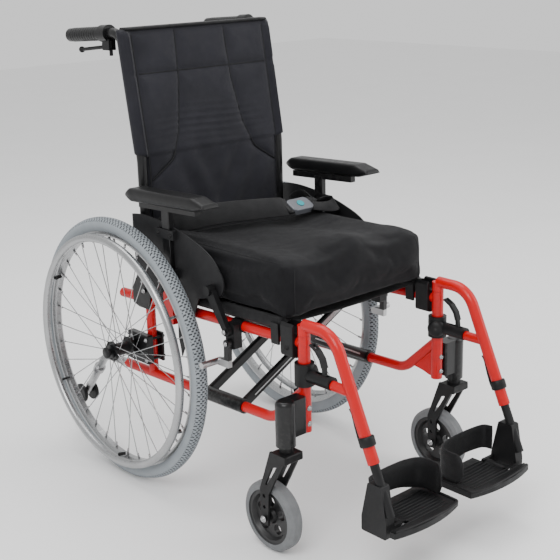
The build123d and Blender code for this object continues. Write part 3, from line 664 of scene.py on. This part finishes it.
def make_back():
    """The padded back: a closed skin with front padding, a flat rear and sleeves round the posts."""
    rows = 130
    columns = 96
    rings = []
    for r in range(rows + 1):
        z = BACK_LOW + (BACK_HIGH - BACK_LOW) * r / rows
        plane = back_plane(z)
        sleeve = 1 / (1 + math.exp(-(z - 0.744) / 0.0012))
        edge = 0.1875 + (SIDE_X + 0.001 - 0.1875) * sleeve
        ends = min(1.0, (z - BACK_LOW) / 0.012, (BACK_HIGH - z) / 0.008)
        ends = math.sqrt(max(0.04, ends))
        ring = []
        for c in range(columns + 1):
            x = -edge + 2 * edge * c / columns
            inside = min(1.0, (edge - abs(x)) / 0.012)
            depth = back_depth(x, z) + 0.007 * (1 - inside) * sleeve
            ring.append(Vector((x, plane - depth * ends - 0.004 * sleeve, z)))
        wrap_r = 0.0135 * sleeve + 0.006 * (1 - sleeve)
        for c in range(1, 10):
            angle = -math.pi / 2 + math.pi * c / 10
            ring.append(
                Vector((edge + wrap_r * math.cos(angle), plane + wrap_r * math.sin(angle) * ends, z))
            )
        for c in range(columns // 3 + 1):
            x = edge - 2 * edge * c / (columns // 3)
            sag = 0.004 * math.cos(x / edge * math.pi / 2)
            ring.append(Vector((x, plane + (0.0125 * sleeve + 0.006 * (1 - sleeve) + sag) * ends, z)))
        for c in range(1, 10):
            angle = math.pi / 2 + math.pi * c / 10
            ring.append(
                Vector((-edge + wrap_r * math.cos(angle), plane + wrap_r * math.sin(angle) * ends, z))
            )
        rings.append(ring)
    obj = lofted("back_cover", rings, back_cloth, "right_side")
    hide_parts("back_upholstery")
    return obj


def squash_back(obj):
    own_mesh(obj)


def squash_seat(obj):
    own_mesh(obj)


def back_seams():
    """Piping along each seam of the back, and the binding on its top edge."""
    made = []
    for side in (-1, 1):
        line = []
        for k in range(34):
            z = 0.688 + (1.004 - 0.688) * k / 33
            x = seam_x(side, z)
            line.append(Vector((x, back_plane(z) - back_depth(x, z) - 0.0045, z)))
        made.append(("back_seam_side_%d" % (side + 1), line, 0.0016))
        edge = [Vector((side * 0.186, back_plane(z) - back_depth(side * 0.186, z) - 0.0045, z))
                for z in (0.60, 0.64, 0.68, 0.72, 0.76, 0.82, 0.88, 0.94, 1.0)]
        made.append(("back_seam_edge_%d" % (side + 1), edge, 0.0016))
    level = [
        Vector(
            (x / 100, back_plane(SEAM_Z) - back_depth(x / 100, SEAM_Z) - 0.0045, SEAM_Z)
        ) for x in range(-18, 19, 2)
    ]
    made.append(("back_seam_level", level, 0.0016))
    for name, line, radius in made:
        obj = lofted(
            name, swept_section(line, Vector((0, -1, 0.02)), round_section(radius, 8)), thread,
            "right_side",
        )
        squash_back(obj)
    top = [
        Vector((x / 100, back_plane(BACK_HIGH) - 0.003, BACK_HIGH + 0.001)) for x in range(-20, 21, 2)
    ]
    obj = lofted(
        "back_binding", swept_section(top, Vector((0, 0, 1)), band_section(0.026, 0.006)), binding,
        "right_side",
    )
    squash_back(obj)


back = make_back()
squash_back(back)
back_seams()
squash_seat(cushion)


def cushion_seams():
    """Sewn edges up the front corners and round the top of the cushion."""
    low, high = (Vector(p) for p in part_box("cushion"))
    tree = cushion.evaluated_get(bpy.context.evaluated_depsgraph_get())

    def on_cover(start, direction):
        hit, place, _, _ = tree.ray_cast(Vector(start), Vector(direction))
        return place if hit else None

    lines = []
    for side in (-1, 1):
        upright = []
        for k in range(12):
            z = low.z + 0.022 + (high.z - low.z - 0.04) * k / 11
            spot = on_cover((side * 0.35, low.y - 0.15, z), (-side * 0.7, 0.68, 0))
            if spot:
                upright.append(spot)
        lines.append(
            ("cushion_seam_corner_%d" % (side + 1), upright, Vector((side, -1, 0)).normalized())
        )
        rim = []
        for k in range(26):
            y = low.y + 0.02 + (high.y - low.y - 0.035) * k / 25
            spot = on_cover((side * 0.35, y, high.z + 0.13), (-side * 0.745, 0, -0.667))
            if spot:
                rim.append(spot)
        lines.append(("cushion_seam_rim_%d" % (side + 1), rim, Vector((side, 0, 1)).normalized()))
    for name, line, normal in lines:
        if len(line) > 3:
            obj = lofted(
                name, swept_section(line, normal, round_section(0.0011, 6)), thread, "seat",
            )
            squash_seat(obj)


cushion_seams()


def make_sling():
    """The seat fabric: a shallow web with a sleeve round each rail."""
    low, high = (Vector(p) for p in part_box("seat_sling"))
    rows = 40
    rings = []
    for r in range(rows + 1):
        y = low.y + 0.001 + (high.y - low.y - 0.002) * r / rows
        rail = AXLE.z + 0.1427 - 0.0318 * (y - AXLE.y)
        ring = []
        radius = 0.0126
        count = 36
        for side in (1, -1):
            for k in range(14):
                angle = math.radians(-160 + 320 * k / 13)
                out = radius * (1 + 0.015 * math.sin(y * 300 + k))
                ring.append(
                    Vector(
                        (side * (SIDE_X + out * math.cos(angle)), y, rail + side * out * math.sin(angle))
                    )
                )
            for k in range(1, count):
                t = k / count
                x = side * (SIDE_X - radius) * (1 - 2 * t)
                sag = 0.006 * (1 - (x / SIDE_X) ** 2)
                ring.append(Vector((x, y, rail + side * 0.0012 - sag)))
        rings.append(ring)
    obj = lofted("sling_cover", rings, strap, "seat")
    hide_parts("seat_sling")
    squash_seat(obj)


make_sling()


def lap_belt():
    """Webbing on edge from the right rail to the buckle, and the folded end on the far side."""
    buckle_low, buckle_high = (Vector(p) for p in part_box("belt_buckle"))
    middle = (buckle_low + buckle_high) / 2
    upright = Vector((0, -0.86, 0.5))
    right = [
        (
            -0.196, REAR_Y - 0.055, 0.588,
        ), (-0.180, REAR_Y - 0.066, 0.598), (-0.140, REAR_Y - 0.088, 0.607),
        (-0.075, REAR_Y - 0.114, 0.613), (-0.010, REAR_Y - 0.138, 0.613), (
            middle.x - 0.058, middle.y - 0.002, middle.z + 0.008,
        ),
        (middle.x - 0.030, middle.y - 0.001, middle.z + 0.003),
    ]
    turns = [
        (-0.1, -0.95, 0.2), (-0.1, -0.93, 0.3), (-0.05, -0.9, 0.42), (0, -0.86, 0.5), (0, -0.84, 0.55),
        (0, -0.74, 0.66), (0, -0.6, 0.8),
    ]
    belt("belt_right", right, turns, 0.050)
    far = [
        (
            middle.x + 0.030, middle.y - 0.001, middle.z + 0.001,
        ), (middle.x + 0.052, middle.y - 0.006, middle.z - 0.004),
        (
            middle.x + 0.072, middle.y + 0.002, middle.z - 0.003,
        ), (0.196, middle.y + 0.022, 0.5975), (0.2015, middle.y + 0.060, 0.602),
        (0.202, REAR_Y - 0.080, 0.597), (0.1995, REAR_Y - 0.055, 0.580),
    ]
    turns = [
        (0, -0.6, 0.8), (0.1, -0.5, 0.85), (0.25, -0.4, 0.88), (0.5, -0.3, 0.8), (0.75, -0.15, 0.6),
        (0.8, -0.1, 0.55), (0.9, -0.2, 0.3),
    ]
    belt("belt_left", far, turns, 0.046)
    tail = [
        (
            middle.x + 0.028, middle.y - 0.016, middle.z - 0.002,
        ), (middle.x + 0.050, middle.y - 0.030, middle.z - 0.005),
        (
            middle.x + 0.072, middle.y - 0.036, middle.z - 0.006,
        ), (middle.x + 0.087, middle.y - 0.030, middle.z - 0.003),
        (
            middle.x + 0.090, middle.y - 0.016, middle.z + 0.002,
        ), (middle.x + 0.078, middle.y - 0.004, middle.z + 0.004),
        (middle.x + 0.056, middle.y + 0.000, middle.z + 0.004),
    ]
    turns = [
        (0, -0.5, 0.86), (0, -0.62, 0.78), (0.1, -0.7, 0.7), (0.7, -0.4, 0.6), (0.8, 0.1, 0.6),
        (0.2, 0.6, 0.76), (0, 0.5, 0.86),
    ]
    belt("belt_tail", tail, turns, 0.030)
    across = [
        Vector(
            (middle.x - 0.041, middle.y, middle.z + 0.005)
        ) + Vector((0, 0.82, 0.45)) * d for d in (-0.026, -0.013, 0.0, 0.013, 0.026)
    ]
    slider = lofted(
        "belt_slider", swept_section(across, upright, band_section(0.016, 0.009)), black_plastic, "seat",
    )
    squash_seat(slider)
    hem = [Vector(p) + Vector((0, -0.0142, -0.0265)) for p in right[1:6]]
    line = cord_line("belt_hem", hem, 0.0011, thread, "seat", Vector((0, 0, 1)))
    squash_seat(line)


def belt(name, points, turns, width):
    line = smooth_line(points, 8)
    facing = [n.normalized() for n in smooth_line(turns, 8)]
    section = band_section(width, 0.0026)
    obj = lofted(name, swept_section(line, facing, section), strap, "seat")
    if name == "belt_right":
        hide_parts("lap_belt")
    squash_seat(obj)


lap_belt()


# ---------------------------------------------------------------- wheels

def tread_dip(around, across):
    """Depth of the tread at an angle round the wheel and an angle across the tyre, both in radians."""
    if abs(across) > 1.02:
        return 0.0
    if abs(across) > 0.9:
        return 0.0011 * (math.sin(around * 240) > 0.2)
    row = int((across + 0.9) / 0.3)
    phase = around * 180 + (row % 2) * math.pi
    groove = 0.0006 if abs(((across + 0.9) % 0.3) - 0.15) > 0.125 else 0.0
    return max(groove, 0.0012 if math.sin(phase) > 0.5 else 0.0)


def make_tyre(side_name, side):
    low, high = (Vector(p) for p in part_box(side_name + "_wheel_tyre"))
    middle = (low + high) / 2
    outer = (high.z - low.z) / 2
    body_r = (high.x - low.x) / 2
    line_r = outer - body_r
    count, size = 1080, 44
    rings = []
    for a in range(count):
        around = 2 * math.pi * a / count
        ring = []
        for k in range(size):
            across = -2.45 + 4.9 * k / (size - 1)
            depth = body_r - tread_dip(around, across)
            radial = line_r + depth * math.cos(across)
            ring.append(middle + Vector((
                depth * math.sin(across) * side, radial * math.cos(around), radial * math.sin(around))))
        rings.append(ring)
    obj = lofted(
        side_name + "_tyre_tread", rings, tyre_rubber, side_name + "_wheel", closed=True,
        smooth=False,
    )
    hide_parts(side_name + "_wheel_tyre")
    return obj


def wheel_details(side_name, side):
    body = side_name + "_wheel"
    centre_x = centre(side_name + "_wheel_rim").x
    hub = Vector((centre_x, AXLE.y, AXLE.z))
    tube_r = 9 * MM
    low, high = (Vector(p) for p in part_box(side_name + "_wheel_handrim"))
    handrim_x = max(abs(low.x), abs(high.x)) - tube_r
    handrim_r = (high.z - low.z) / 2 - tube_r

    def at(x_out, radius, angle):
        return Vector((side * x_out, hub.y + radius * math.cos(angle), hub.z + radius * math.sin(angle)))

    for k in range(36):
        angle = math.radians(k * 10)
        start = at(abs(centre_x), 0.2615, angle)
        end = at(abs(centre_x) + (0.0015 if k % 2 == 0 else -0.0015), 0.249, angle)
        ring = swept_section(
            [start, (start + end) / 2, end], Vector((1, 0.01, 0)), round_section(0.0024, 8),
        )
        lofted("%s_nipple_%02d" % (side_name, k), ring, steel, body)
    for k in range(6):
        angle = math.radians(30 + 60 * k)
        inner = at(handrim_x - 0.0075, handrim_r - 0.007, angle)
        outer = at(0.2705, 0.2596, angle)
        line = [inner, (inner + outer) / 2, outer]
        clip = swept_section(
            line, Vector((0, -math.sin(angle), math.cos(angle))), band_section(0.012, 0.005),
        )
        lofted("%s_rim_clip_%d" % (side_name, k), clip, black_plastic, body)
    stem = [at(abs(centre_x), 0.262, 2.35), at(abs(centre_x), 0.228, 2.35)]
    lofted(
        side_name + "_valve", swept_section(stem, Vector((1, 0, 0)), round_section(0.0042, 12)),
        black_plastic, body,
    )
    cap = [(0.0, 0.0130), (0.006, 0.0125), (0.009, 0.009), (0.0095, 0.0)]
    rings = []
    for out, radius in [(-0.002, 0.013)] + cap:
        rings.append([
            Vector(
                (
                    side * (0.3005 + out * 0.6), hub.y + radius * math.cos(t * math.pi / 12),
                    hub.z + radius * math.sin(t * math.pi / 12),
                )
            )
            for t in range(24)
        ])
    lofted(side_name + "_hub_cap", rings, black_plastic, body)


for side_name, side in SIDES.items():
    make_tyre(side_name, side)
    wheel_details(side_name, side)


# ---------------------------------------------------------------- armrests, footplates, fittings

def pad_edges(y):
    """Heights of the armrest pad's top and underside at a distance behind the rear axle."""
    top = [
        (-0.318, 0.6765), (-0.316, 0.683), (-0.276, 0.6935), (-0.062, 0.685), (-0.046, 0.676),
        (-0.042, 0.670),
    ]
    under = [(-0.318, 0.675), (-0.285, 0.6655), (-0.064, 0.6555), (-0.046, 0.6615), (-0.042, 0.669)]
    heights = []
    for table in (top, under):
        for (y0, z0), (y1, z1) in zip(table, table[1:]):
            if y <= y1:
                heights.append(z0 + (z1 - z0) * (y - y0) / (y1 - y0))
                break
        else:
            heights.append(table[-1][1])
    return heights


def make_pad(side_name, side):
    """Moulded armrest: bevelled top edges, a drooping nose and a tapered rear end."""
    low, high = (Vector(p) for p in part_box(side_name + "_armrest_pad"))
    mid_x = (low.x + high.x) / 2
    rings = []
    for r in range(61):
        t = r / 60
        y = -0.318 + 0.276 * t
        nose = min(1.0, (t + 0.02) / 0.03, (1.01 - t) / 0.09)
        half = 0.0218 * (0.5 + 0.5 * math.sqrt(max(0.0, 1 - (1 - nose) ** 2)))
        top, under = pad_edges(y)
        bevel = min(0.0065, (top - under) * 0.4)
        section = [
            (-half, under + bevel), (-half + 0.004, under + bevel * 0.3), (-half + 0.008, under),
            (half - 0.008, under), (half - 0.004, under + bevel * 0.3), (half, under + bevel),
            (half, top - bevel * 1.1), (
                half - 0.0012, top - bevel * 0.45,
            ), (half - 0.0045, top), (half - 0.0085, top + 0.0004),
            (0.0, top + 0.0001),
            (-half + 0.0085, top + 0.0004), (-half + 0.0045, top), (
                -half + 0.0012, top - bevel * 0.45,
            ), (-half, top - bevel * 1.1),
        ]
        rings.append([Vector((mid_x + x, AXLE.y + y, z)) for x, z in section])
    obj = lofted(side_name + "_arm_pad", rings, pad_skin, side_name + "_armrest")
    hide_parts(side_name + "_armrest_pad")


def heel_loop(side_name, side):
    """Wide band from the outer block round behind the heel, ending on the plate's inner edge."""
    low, high = (Vector(p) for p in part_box(side_name + "_heel_loop"))
    inner = min(abs(low.x), abs(high.x))
    outer = max(abs(low.x), abs(high.x))
    rear = high.y
    line = [
        (
            outer + 0.004, rear - 0.026,
        ), (outer, rear - 0.010), (outer - 0.014, rear - 0.003), (0.130, rear + 0.001),
        (0.085, rear + 0.001), (
            inner + 0.034, rear - 0.002,
        ), (inner + 0.013, rear - 0.010), (inner + 0.003, rear - 0.028),
        (inner + 0.002, rear - 0.052), (inner + 0.008, rear - 0.070),
    ]
    points = smooth_line([(side * x, y, 0) for x, y in line], 7)
    section = [
        (-1, 0), (-0.95, -0.9), (-0.5, -1.0), (0.5, -1.0), (0.95, -0.9), (1, 0), (0.95, 0.9), (0.5, 1.0),
        (-0.5, 1.0), (-0.95, 0.9),
    ]
    rings = []
    total = len(points)
    for k, point in enumerate(points):
        ahead = points[min(k + 1, total - 1)] - points[max(k - 1, 0)]
        out = Vector((ahead.y, -ahead.x, 0)).normalized()
        share = k / (total - 1)
        top = 0.196 - 0.004 * share
        bottom = 0.142 - 0.016 * min(1.0, max(0.0, (share - 0.35) / 0.3))
        end = max(0.0, (share - 0.9) / 0.1)
        half = (top - bottom) / 2 * math.sqrt(max(0.12, 1 - end * end))
        mid = (top + bottom) / 2
        rings.append(
            [point + Vector((0, 0, mid + half * a)) + out * (0.0018 * o + 0.0025 * (1 - a * a)) for a, o in section]
        )
    obj = lofted(side_name + "_heel_band", rings, strap, side_name + "_plate")
    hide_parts(side_name + "_heel_loop")
    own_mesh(obj)


def plate_tread(side_name, side):
    """Raised ribs on the footplate."""
    low, high = (Vector(p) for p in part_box(side_name + "_footplate"))
    top = 0.124
    for k in range(9):
        y = low.y + 0.024 + 0.0088 * k
        reach = 0.150 if k > 1 else 0.185
        line = [Vector((side * (0.040 + (reach - 0.040) * t / 6), y, top + 0.0002)) for t in range(7)]
        obj = lofted("%s_plate_rib_%d" % (side_name, k), swept_section(line, Vector((0, 0, 1)), band_section(0.0032, 0.0022)),
                     black_plastic, side_name + "_plate")


def plate_rim(side_name, side):
    """Rounded bead along the plate's front and inner edges."""
    low, high = (Vector(p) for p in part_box(side_name + "_footplate"))
    front = low.y
    line = [
        (
            0.0235, high.y - 0.004,
        ), (0.0230, high.y - 0.040), (0.0232, front + 0.030), (0.0280, front + 0.0125),
        (0.060, front + 0.0055), (0.090, front + 0.0040), (0.130, front + 0.0050),
        (0.170, front + 0.0085), (
            0.2035, front + 0.0145,
        ),
    ]
    points = smooth_line([(side * x, y, 0.1245) for x, y in line], 6)
    obj = lofted(side_name + "_plate_bead", swept_section(points, Vector((0, 0, 1)), round_section(0.0034, 10)), black_plastic,
                 side_name + "_plate")


def fittings(side_name, side):
    body = side_name + "_side"
    x = side * SIDE_X
    low, _ = (Vector(p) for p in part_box(side_name + "_caster_housing"))
    for k, z in enumerate((0.272, 0.305)):
        bolt(
            "%s_housing_bolt_%d" % (side_name, k), (x, FRONT_Y - 0.0122, z), (0, -1, 0), 0.0042, 0.0042,
            body,
        )
    for k, (dy, dz) in enumerate(((-0.016, -0.024), (-0.016, 0.024), (0.012, -0.024), (0.012, 0.024))):
        bolt("%s_axle_bolt_%d" % (side_name, k), (x + side * 0.030, REAR_Y + dy + (0.026 if dy > 0 else 0), AXLE.z + dz),
             (side, 0, 0), 0.0038, 0.004, body)
    for k, z in enumerate((0.462, 0.440)):
        bolt(
            "%s_cane_bolt_%d" % (side_name, k), (x + side * 0.017, REAR_Y, z), (side, 0, 0), 0.0044,
            0.0045, body,
        )
    bolt(
        side_name + "_brake_bolt", (side * 0.2441, AXLE.y - 0.352, 0.424), (side, 0, 0), 0.004, 0.004,
        body,
    )
    bolt(
        side_name + "_shoe_bolt", (side * 0.2411, AXLE.y - 0.352, 0.398), (side, 0, 0), 0.004, 0.004,
        body,
    )
    for k, z in enumerate((0.510, 0.596)):
        for j, dy in enumerate((-0.022, 0.022)):
            bolt("%s_panel_screw_%d%d" % (side_name, k, j), (side * 0.2366, AXLE.y - 0.155 + dy, z), (side, 0, 0), 0.0032, 0.003,
                 side_name + "_armrest", black_plastic)
    for k, dx in enumerate((-0.0275, 0.0275)):
        bolt("%s_caster_bolt_%d" % (side_name, k), (side * 0.2556 + dx, CASTER.y, CASTER.z), (dx, 0, 0), 0.0056, 0.0045,
             side_name + "_caster")
    saddle(side_name, side)


def turned(name, base, axis, profile, material, body, count=28):
    """A round piece from (radius, height) pairs along an axis."""
    turn = Vector((0, 0, 1)).rotation_difference(Vector(axis).normalized()).to_matrix()
    rings = [
        [Vector(base) + turn @ Vector((r * math.cos(2 * math.pi * k / count), r * math.sin(2 * math.pi * k / count), h))
         for k in range(count)]
        for r, h in profile
    ]
    return lofted(name, rings, material, body)


def hanger_fittings(side_name, side):
    """Length clamp near each hanger's foot, with its flat lever, and the domed cap of the swing hinge."""
    body = side_name + "_hanger"
    low, high = (Vector(p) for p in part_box(side_name + "_hanger_tube"))
    x = side * SIDE_X
    foot = Vector((x, AXLE.y - 0.728, 0.244))
    knee = Vector((x, AXLE.y - 0.624, 0.475))
    up = Vector((0, 0.41, 0.912)).normalized()
    base = foot + (knee - foot).normalized() * 0.034
    run = (Vector((x, AXLE.y - 0.655, 0.43)) - foot).normalized()
    ring = [
        (0.0119, 0.0), (0.0150, 0.0008), (0.0160, 0.003), (0.0160, 0.017), (0.0150, 0.0192),
        (0.0119, 0.020), (0.0119, 0.0),
    ]
    turned(side_name + "_leg_clamp", base, run, ring, black_plastic, body)
    back = run.cross(Vector((1, 0, 0))).normalized()
    if back.y < 0:
        back = -back
    start = base + back * 0.0165 + run * 0.010
    lever = [start + run * d + back * b for d, b in ((0, 0), (0.012, 0.0005), (0.035, 0.0), (0.055, -0.001), (0.066, 0.0015))]
    lofted(side_name + "_leg_clamp_lever", swept_section(smooth_line(lever, 6), back, band_section(0.013, 0.0042)), black_plastic,
           body)
    hub = Vector((x, AXLE.y - 0.543, 0.374))
    out = Vector((side * 0.25, -1, 0)).normalized()
    dome = [
        (0.0175, 0.010), (0.0190, 0.014), (0.0190, 0.018), (0.0172, 0.0225), (0.0130, 0.0258),
        (0.0070, 0.0274), (0.0, 0.0278),
    ]
    turned(
        side_name + "_hinge_cap", hub, (side * -0.85, -0.53, 0), dome, black_plastic, body,
    )


def front_casting(side_name, side):
    """Black casting on the upper tube just behind the front tube, open at the top for the seat rail."""
    body = side_name + "_side"
    x = side * SIDE_X
    y0, y1 = AXLE.y - 0.5285, AXLE.y - 0.494
    rail = AXLE.z + 0.1427 + 0.0318 * 0.51
    profile = [
        (0.0168, 0.408), (0.0178, 0.412), (0.0178, rail + 0.004), (
            0.0150, rail + 0.0115,
        ), (0.0118, rail + 0.0095), (0.0122, rail - 0.003),
        (0.0080, rail - 0.0095), (0.0, rail - 0.0122), (
            -0.0080, rail - 0.0095,
        ), (-0.0122, rail - 0.003), (-0.0118, rail + 0.0095),
        (
            -0.0150, rail + 0.0115,
        ), (-0.0178, rail + 0.004), (-0.0178, 0.412), (-0.0168, 0.408), (-0.006, 0.4035), (0.006, 0.4035),
    ]
    rings = []
    for y, shrink in (
        (y0, 0.955), (y0 + 0.0012, 0.99), (y0 + 0.004, 1.0), (y1 - 0.004, 1.0), (y1 - 0.0012, 0.99),
        (y1, 0.955),
    ):
        rings.append([Vector((x + px * shrink, y, 0.437 + (pz - 0.437) * shrink)) for px, pz in profile])
    lofted(side_name + "_front_casting", rings, black_plastic, body, smooth=False)
    bolt(side_name + "_casting_bolt", (x + side * 0.0176, (y0 + y1) / 2, 0.424), (side, 0, 0), 0.004, 0.0035, body, black_plastic)


def paint_brace_highlights():
    """Painted highlights on the brace bars: a wide light metal strip on the upper half of the front bar, and a thin
    light line down each bar, standing in for the sheen along their rounded fronts.
    """
    for tag, body, y, foot_side in (("a", "cross_a", -0.349, -1), ("b", "cross_b", -0.334, 1)):
        low = Vector((foot_side * SIDE_X, AXLE.y + y, 0.2387 - 0.0318 * y))
        high = Vector((-foot_side * SIDE_X, AXLE.y + y, 0.4477 - 0.0318 * y))
        run = high - low
        front = Vector((0, -0.0062, 0))
        if tag == "a":
            # painted highlight: light metal strips on the black bars' front faces, where their rounded fronts catch the
            # light
            line = [low + run * t + front for t in (0.56, 0.62, 0.7, 0.8, 0.88)]
            lofted("brace_inlay_a", swept_section(line, Vector((0, -1, 0)), band_section(0.012, 0.0012)), bare_metal, body,
                   smooth=False)
        line = [low + run * t + front for t in (0.08, 0.2, 0.3, 0.44)]
        lofted("brace_groove_" + tag, swept_section(line, Vector((0, -1, 0)), band_section(0.0032, 0.0008)), bare_metal, body,
               smooth=False)


def saddle(side_name, side):
    """Open block on the upper tube that the seat rail drops into."""
    body = side_name + "_side"
    for tag, y0 in (("front", -0.475), ("rear", -0.092)):
        y = AXLE.y + y0
        base = 0.4149 - 0.0423 * y0
        rail = AXLE.z + 0.1427 - 0.0318 * y0
        profile = [
            (0.0155, base - 0.012), (0.0165, rail - 0.004), (0.0165, rail + 0.004), (
                0.0142, rail + 0.0045,
            ), (0.0134, rail - 0.003),
            (0.0108, rail - 0.0085), (0.0, rail - 0.0134), (
                -0.0108, rail - 0.0085,
            ), (-0.0134, rail - 0.003), (-0.0142, rail + 0.0045),
            (
                -0.0165, rail + 0.004,
            ), (-0.0165, rail - 0.004), (-0.0155, base - 0.012), (-0.011, base - 0.012), (-0.0112, base + 0.001),
            (
                -0.0075, base + 0.0085,
            ), (0.0, base + 0.0112), (0.0075, base + 0.0085), (0.0112, base + 0.001), (0.011, base - 0.012),
        ]
        rings = []
        for dy in (-0.011, -0.0098, 0.0098, 0.011):
            pinch = 0.001 if abs(dy) > 0.01 else 0.0
            rings.append(
                [Vector((side * SIDE_X + px * (1 - pinch * 20), y + dy, pz)) for px, pz in profile]
            )
        lofted(
            "%s_rail_saddle_%s" % (side_name, tag), rings, black_plastic, body,
            smooth=False,
        )


def grip_rings(side_name, side):
    """Moulded ribs on the push grip."""
    low, high = (Vector(p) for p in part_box(side_name + "_handle_grip"))
    slope = (0.993 - 1.006) / 0.204
    x = side * SIDE_X

    def axis(y):
        return Vector((x, y, 1.006 + slope * (y - AXLE.y - 0.008)))

    for k in range(11):
        y = AXLE.y + 0.100 + 0.0095 * k
        place = axis(y)
        circle = []
        for t in range(28):
            angle = 2 * math.pi * t / 28
            circle.append([place + Vector(((0.0149 + 0.0008 * math.cos(s)) * math.cos(angle), 0.0022 * math.sin(s),
                                           (0.0149 + 0.0008 * math.cos(s)) * math.sin(angle))) for s in (0, 1.57, 3.14, 4.71)])
        lofted(
            "%s_grip_rib_%02d" % (side_name, k), circle, grip_rubber, side_name + "_side",
            closed=True,
        )


for side_name, side in SIDES.items():
    make_pad(side_name, side)
    heel_loop(side_name, side)
    plate_tread(side_name, side)
    plate_rim(side_name, side)
    hanger_fittings(side_name, side)
    front_casting(side_name, side)
    fittings(side_name, side)
    grip_rings(side_name, side)


paint_brace_highlights()

# ---------------------------------------------------------------- floor, light and camera

def set_stage():
    floor = bpy.data.objects.new("floor", bpy.data.meshes.new("floor"))
    floor.data.from_pydata([(-9, -9, 0), (9, -9, 0), (9, 9, 0), (-9, 9, 0)], [], [(0, 1, 2, 3)])
    bpy.context.scene.collection.objects.link(floor)
    n = Nodes("floor_white")
    n.feed(n.shader, "Base Color", n.blend(n.noise(3.0), rgb(0.88, 0.88, 0.88), rgb(0.92, 0.92, 0.92)))
    n.shader.inputs["Roughness"].default_value = 0.6
    paint(floor, n.material)
    world = bpy.data.worlds.new("studio")
    world.use_nodes = True
    world.node_tree.nodes["Background"].inputs["Color"].default_value = rgb(1, 1, 1)
    world.node_tree.nodes["Background"].inputs["Strength"].default_value = 0.95
    bpy.context.scene.world = world
    for name, place, target, size, power in (
        ("key", (-2.6, -1.6, 3.2), (0, 0, 0.5), 2.2, 95),
        ("fill", (2.4, -2.4, 2.2), (0, 0, 0.4), 2.6, 55),
        ("top", (0.2, 0.6, 3.4), (0, 0, 0.5), 2.4, 60),
    ):
        light = bpy.data.lights.new(name, "AREA")
        light.size = size
        light.energy = power
        obj = bpy.data.objects.new(name, light)
        obj.location = place
        obj.rotation_euler = (Vector(target) - Vector(place)).to_track_quat("-Z", "Y").to_euler()
        bpy.context.scene.collection.objects.link(obj)


CAMERA_LENS = 72.42             # millimetres, on a 36 mm sensor
CAMERA_PLACE = (-1.606, AXLE.y - 2.044, 1.176)
CAMERA_TURN = -0.7318           # radians, about the upright axis
CAMERA_DOWN = 0.28825           # below the horizontal
CAMERA_ROLL = -0.02446


def set_camera():
    data = bpy.data.cameras.new("camera")
    data.lens = CAMERA_LENS
    data.sensor_width = 36
    camera = bpy.data.objects.new("camera", data)
    turn = Matrix.Rotation(CAMERA_TURN, 4, "Z")
    turn = turn @ Matrix.Rotation(math.pi / 2 - CAMERA_DOWN, 4, "X")
    turn = turn @ Matrix.Rotation(CAMERA_ROLL, 4, "Z")
    camera.matrix_world = Matrix.Translation(CAMERA_PLACE) @ turn
    bpy.context.scene.collection.objects.link(camera)
    bpy.context.scene.camera = camera


set_stage()
set_camera()
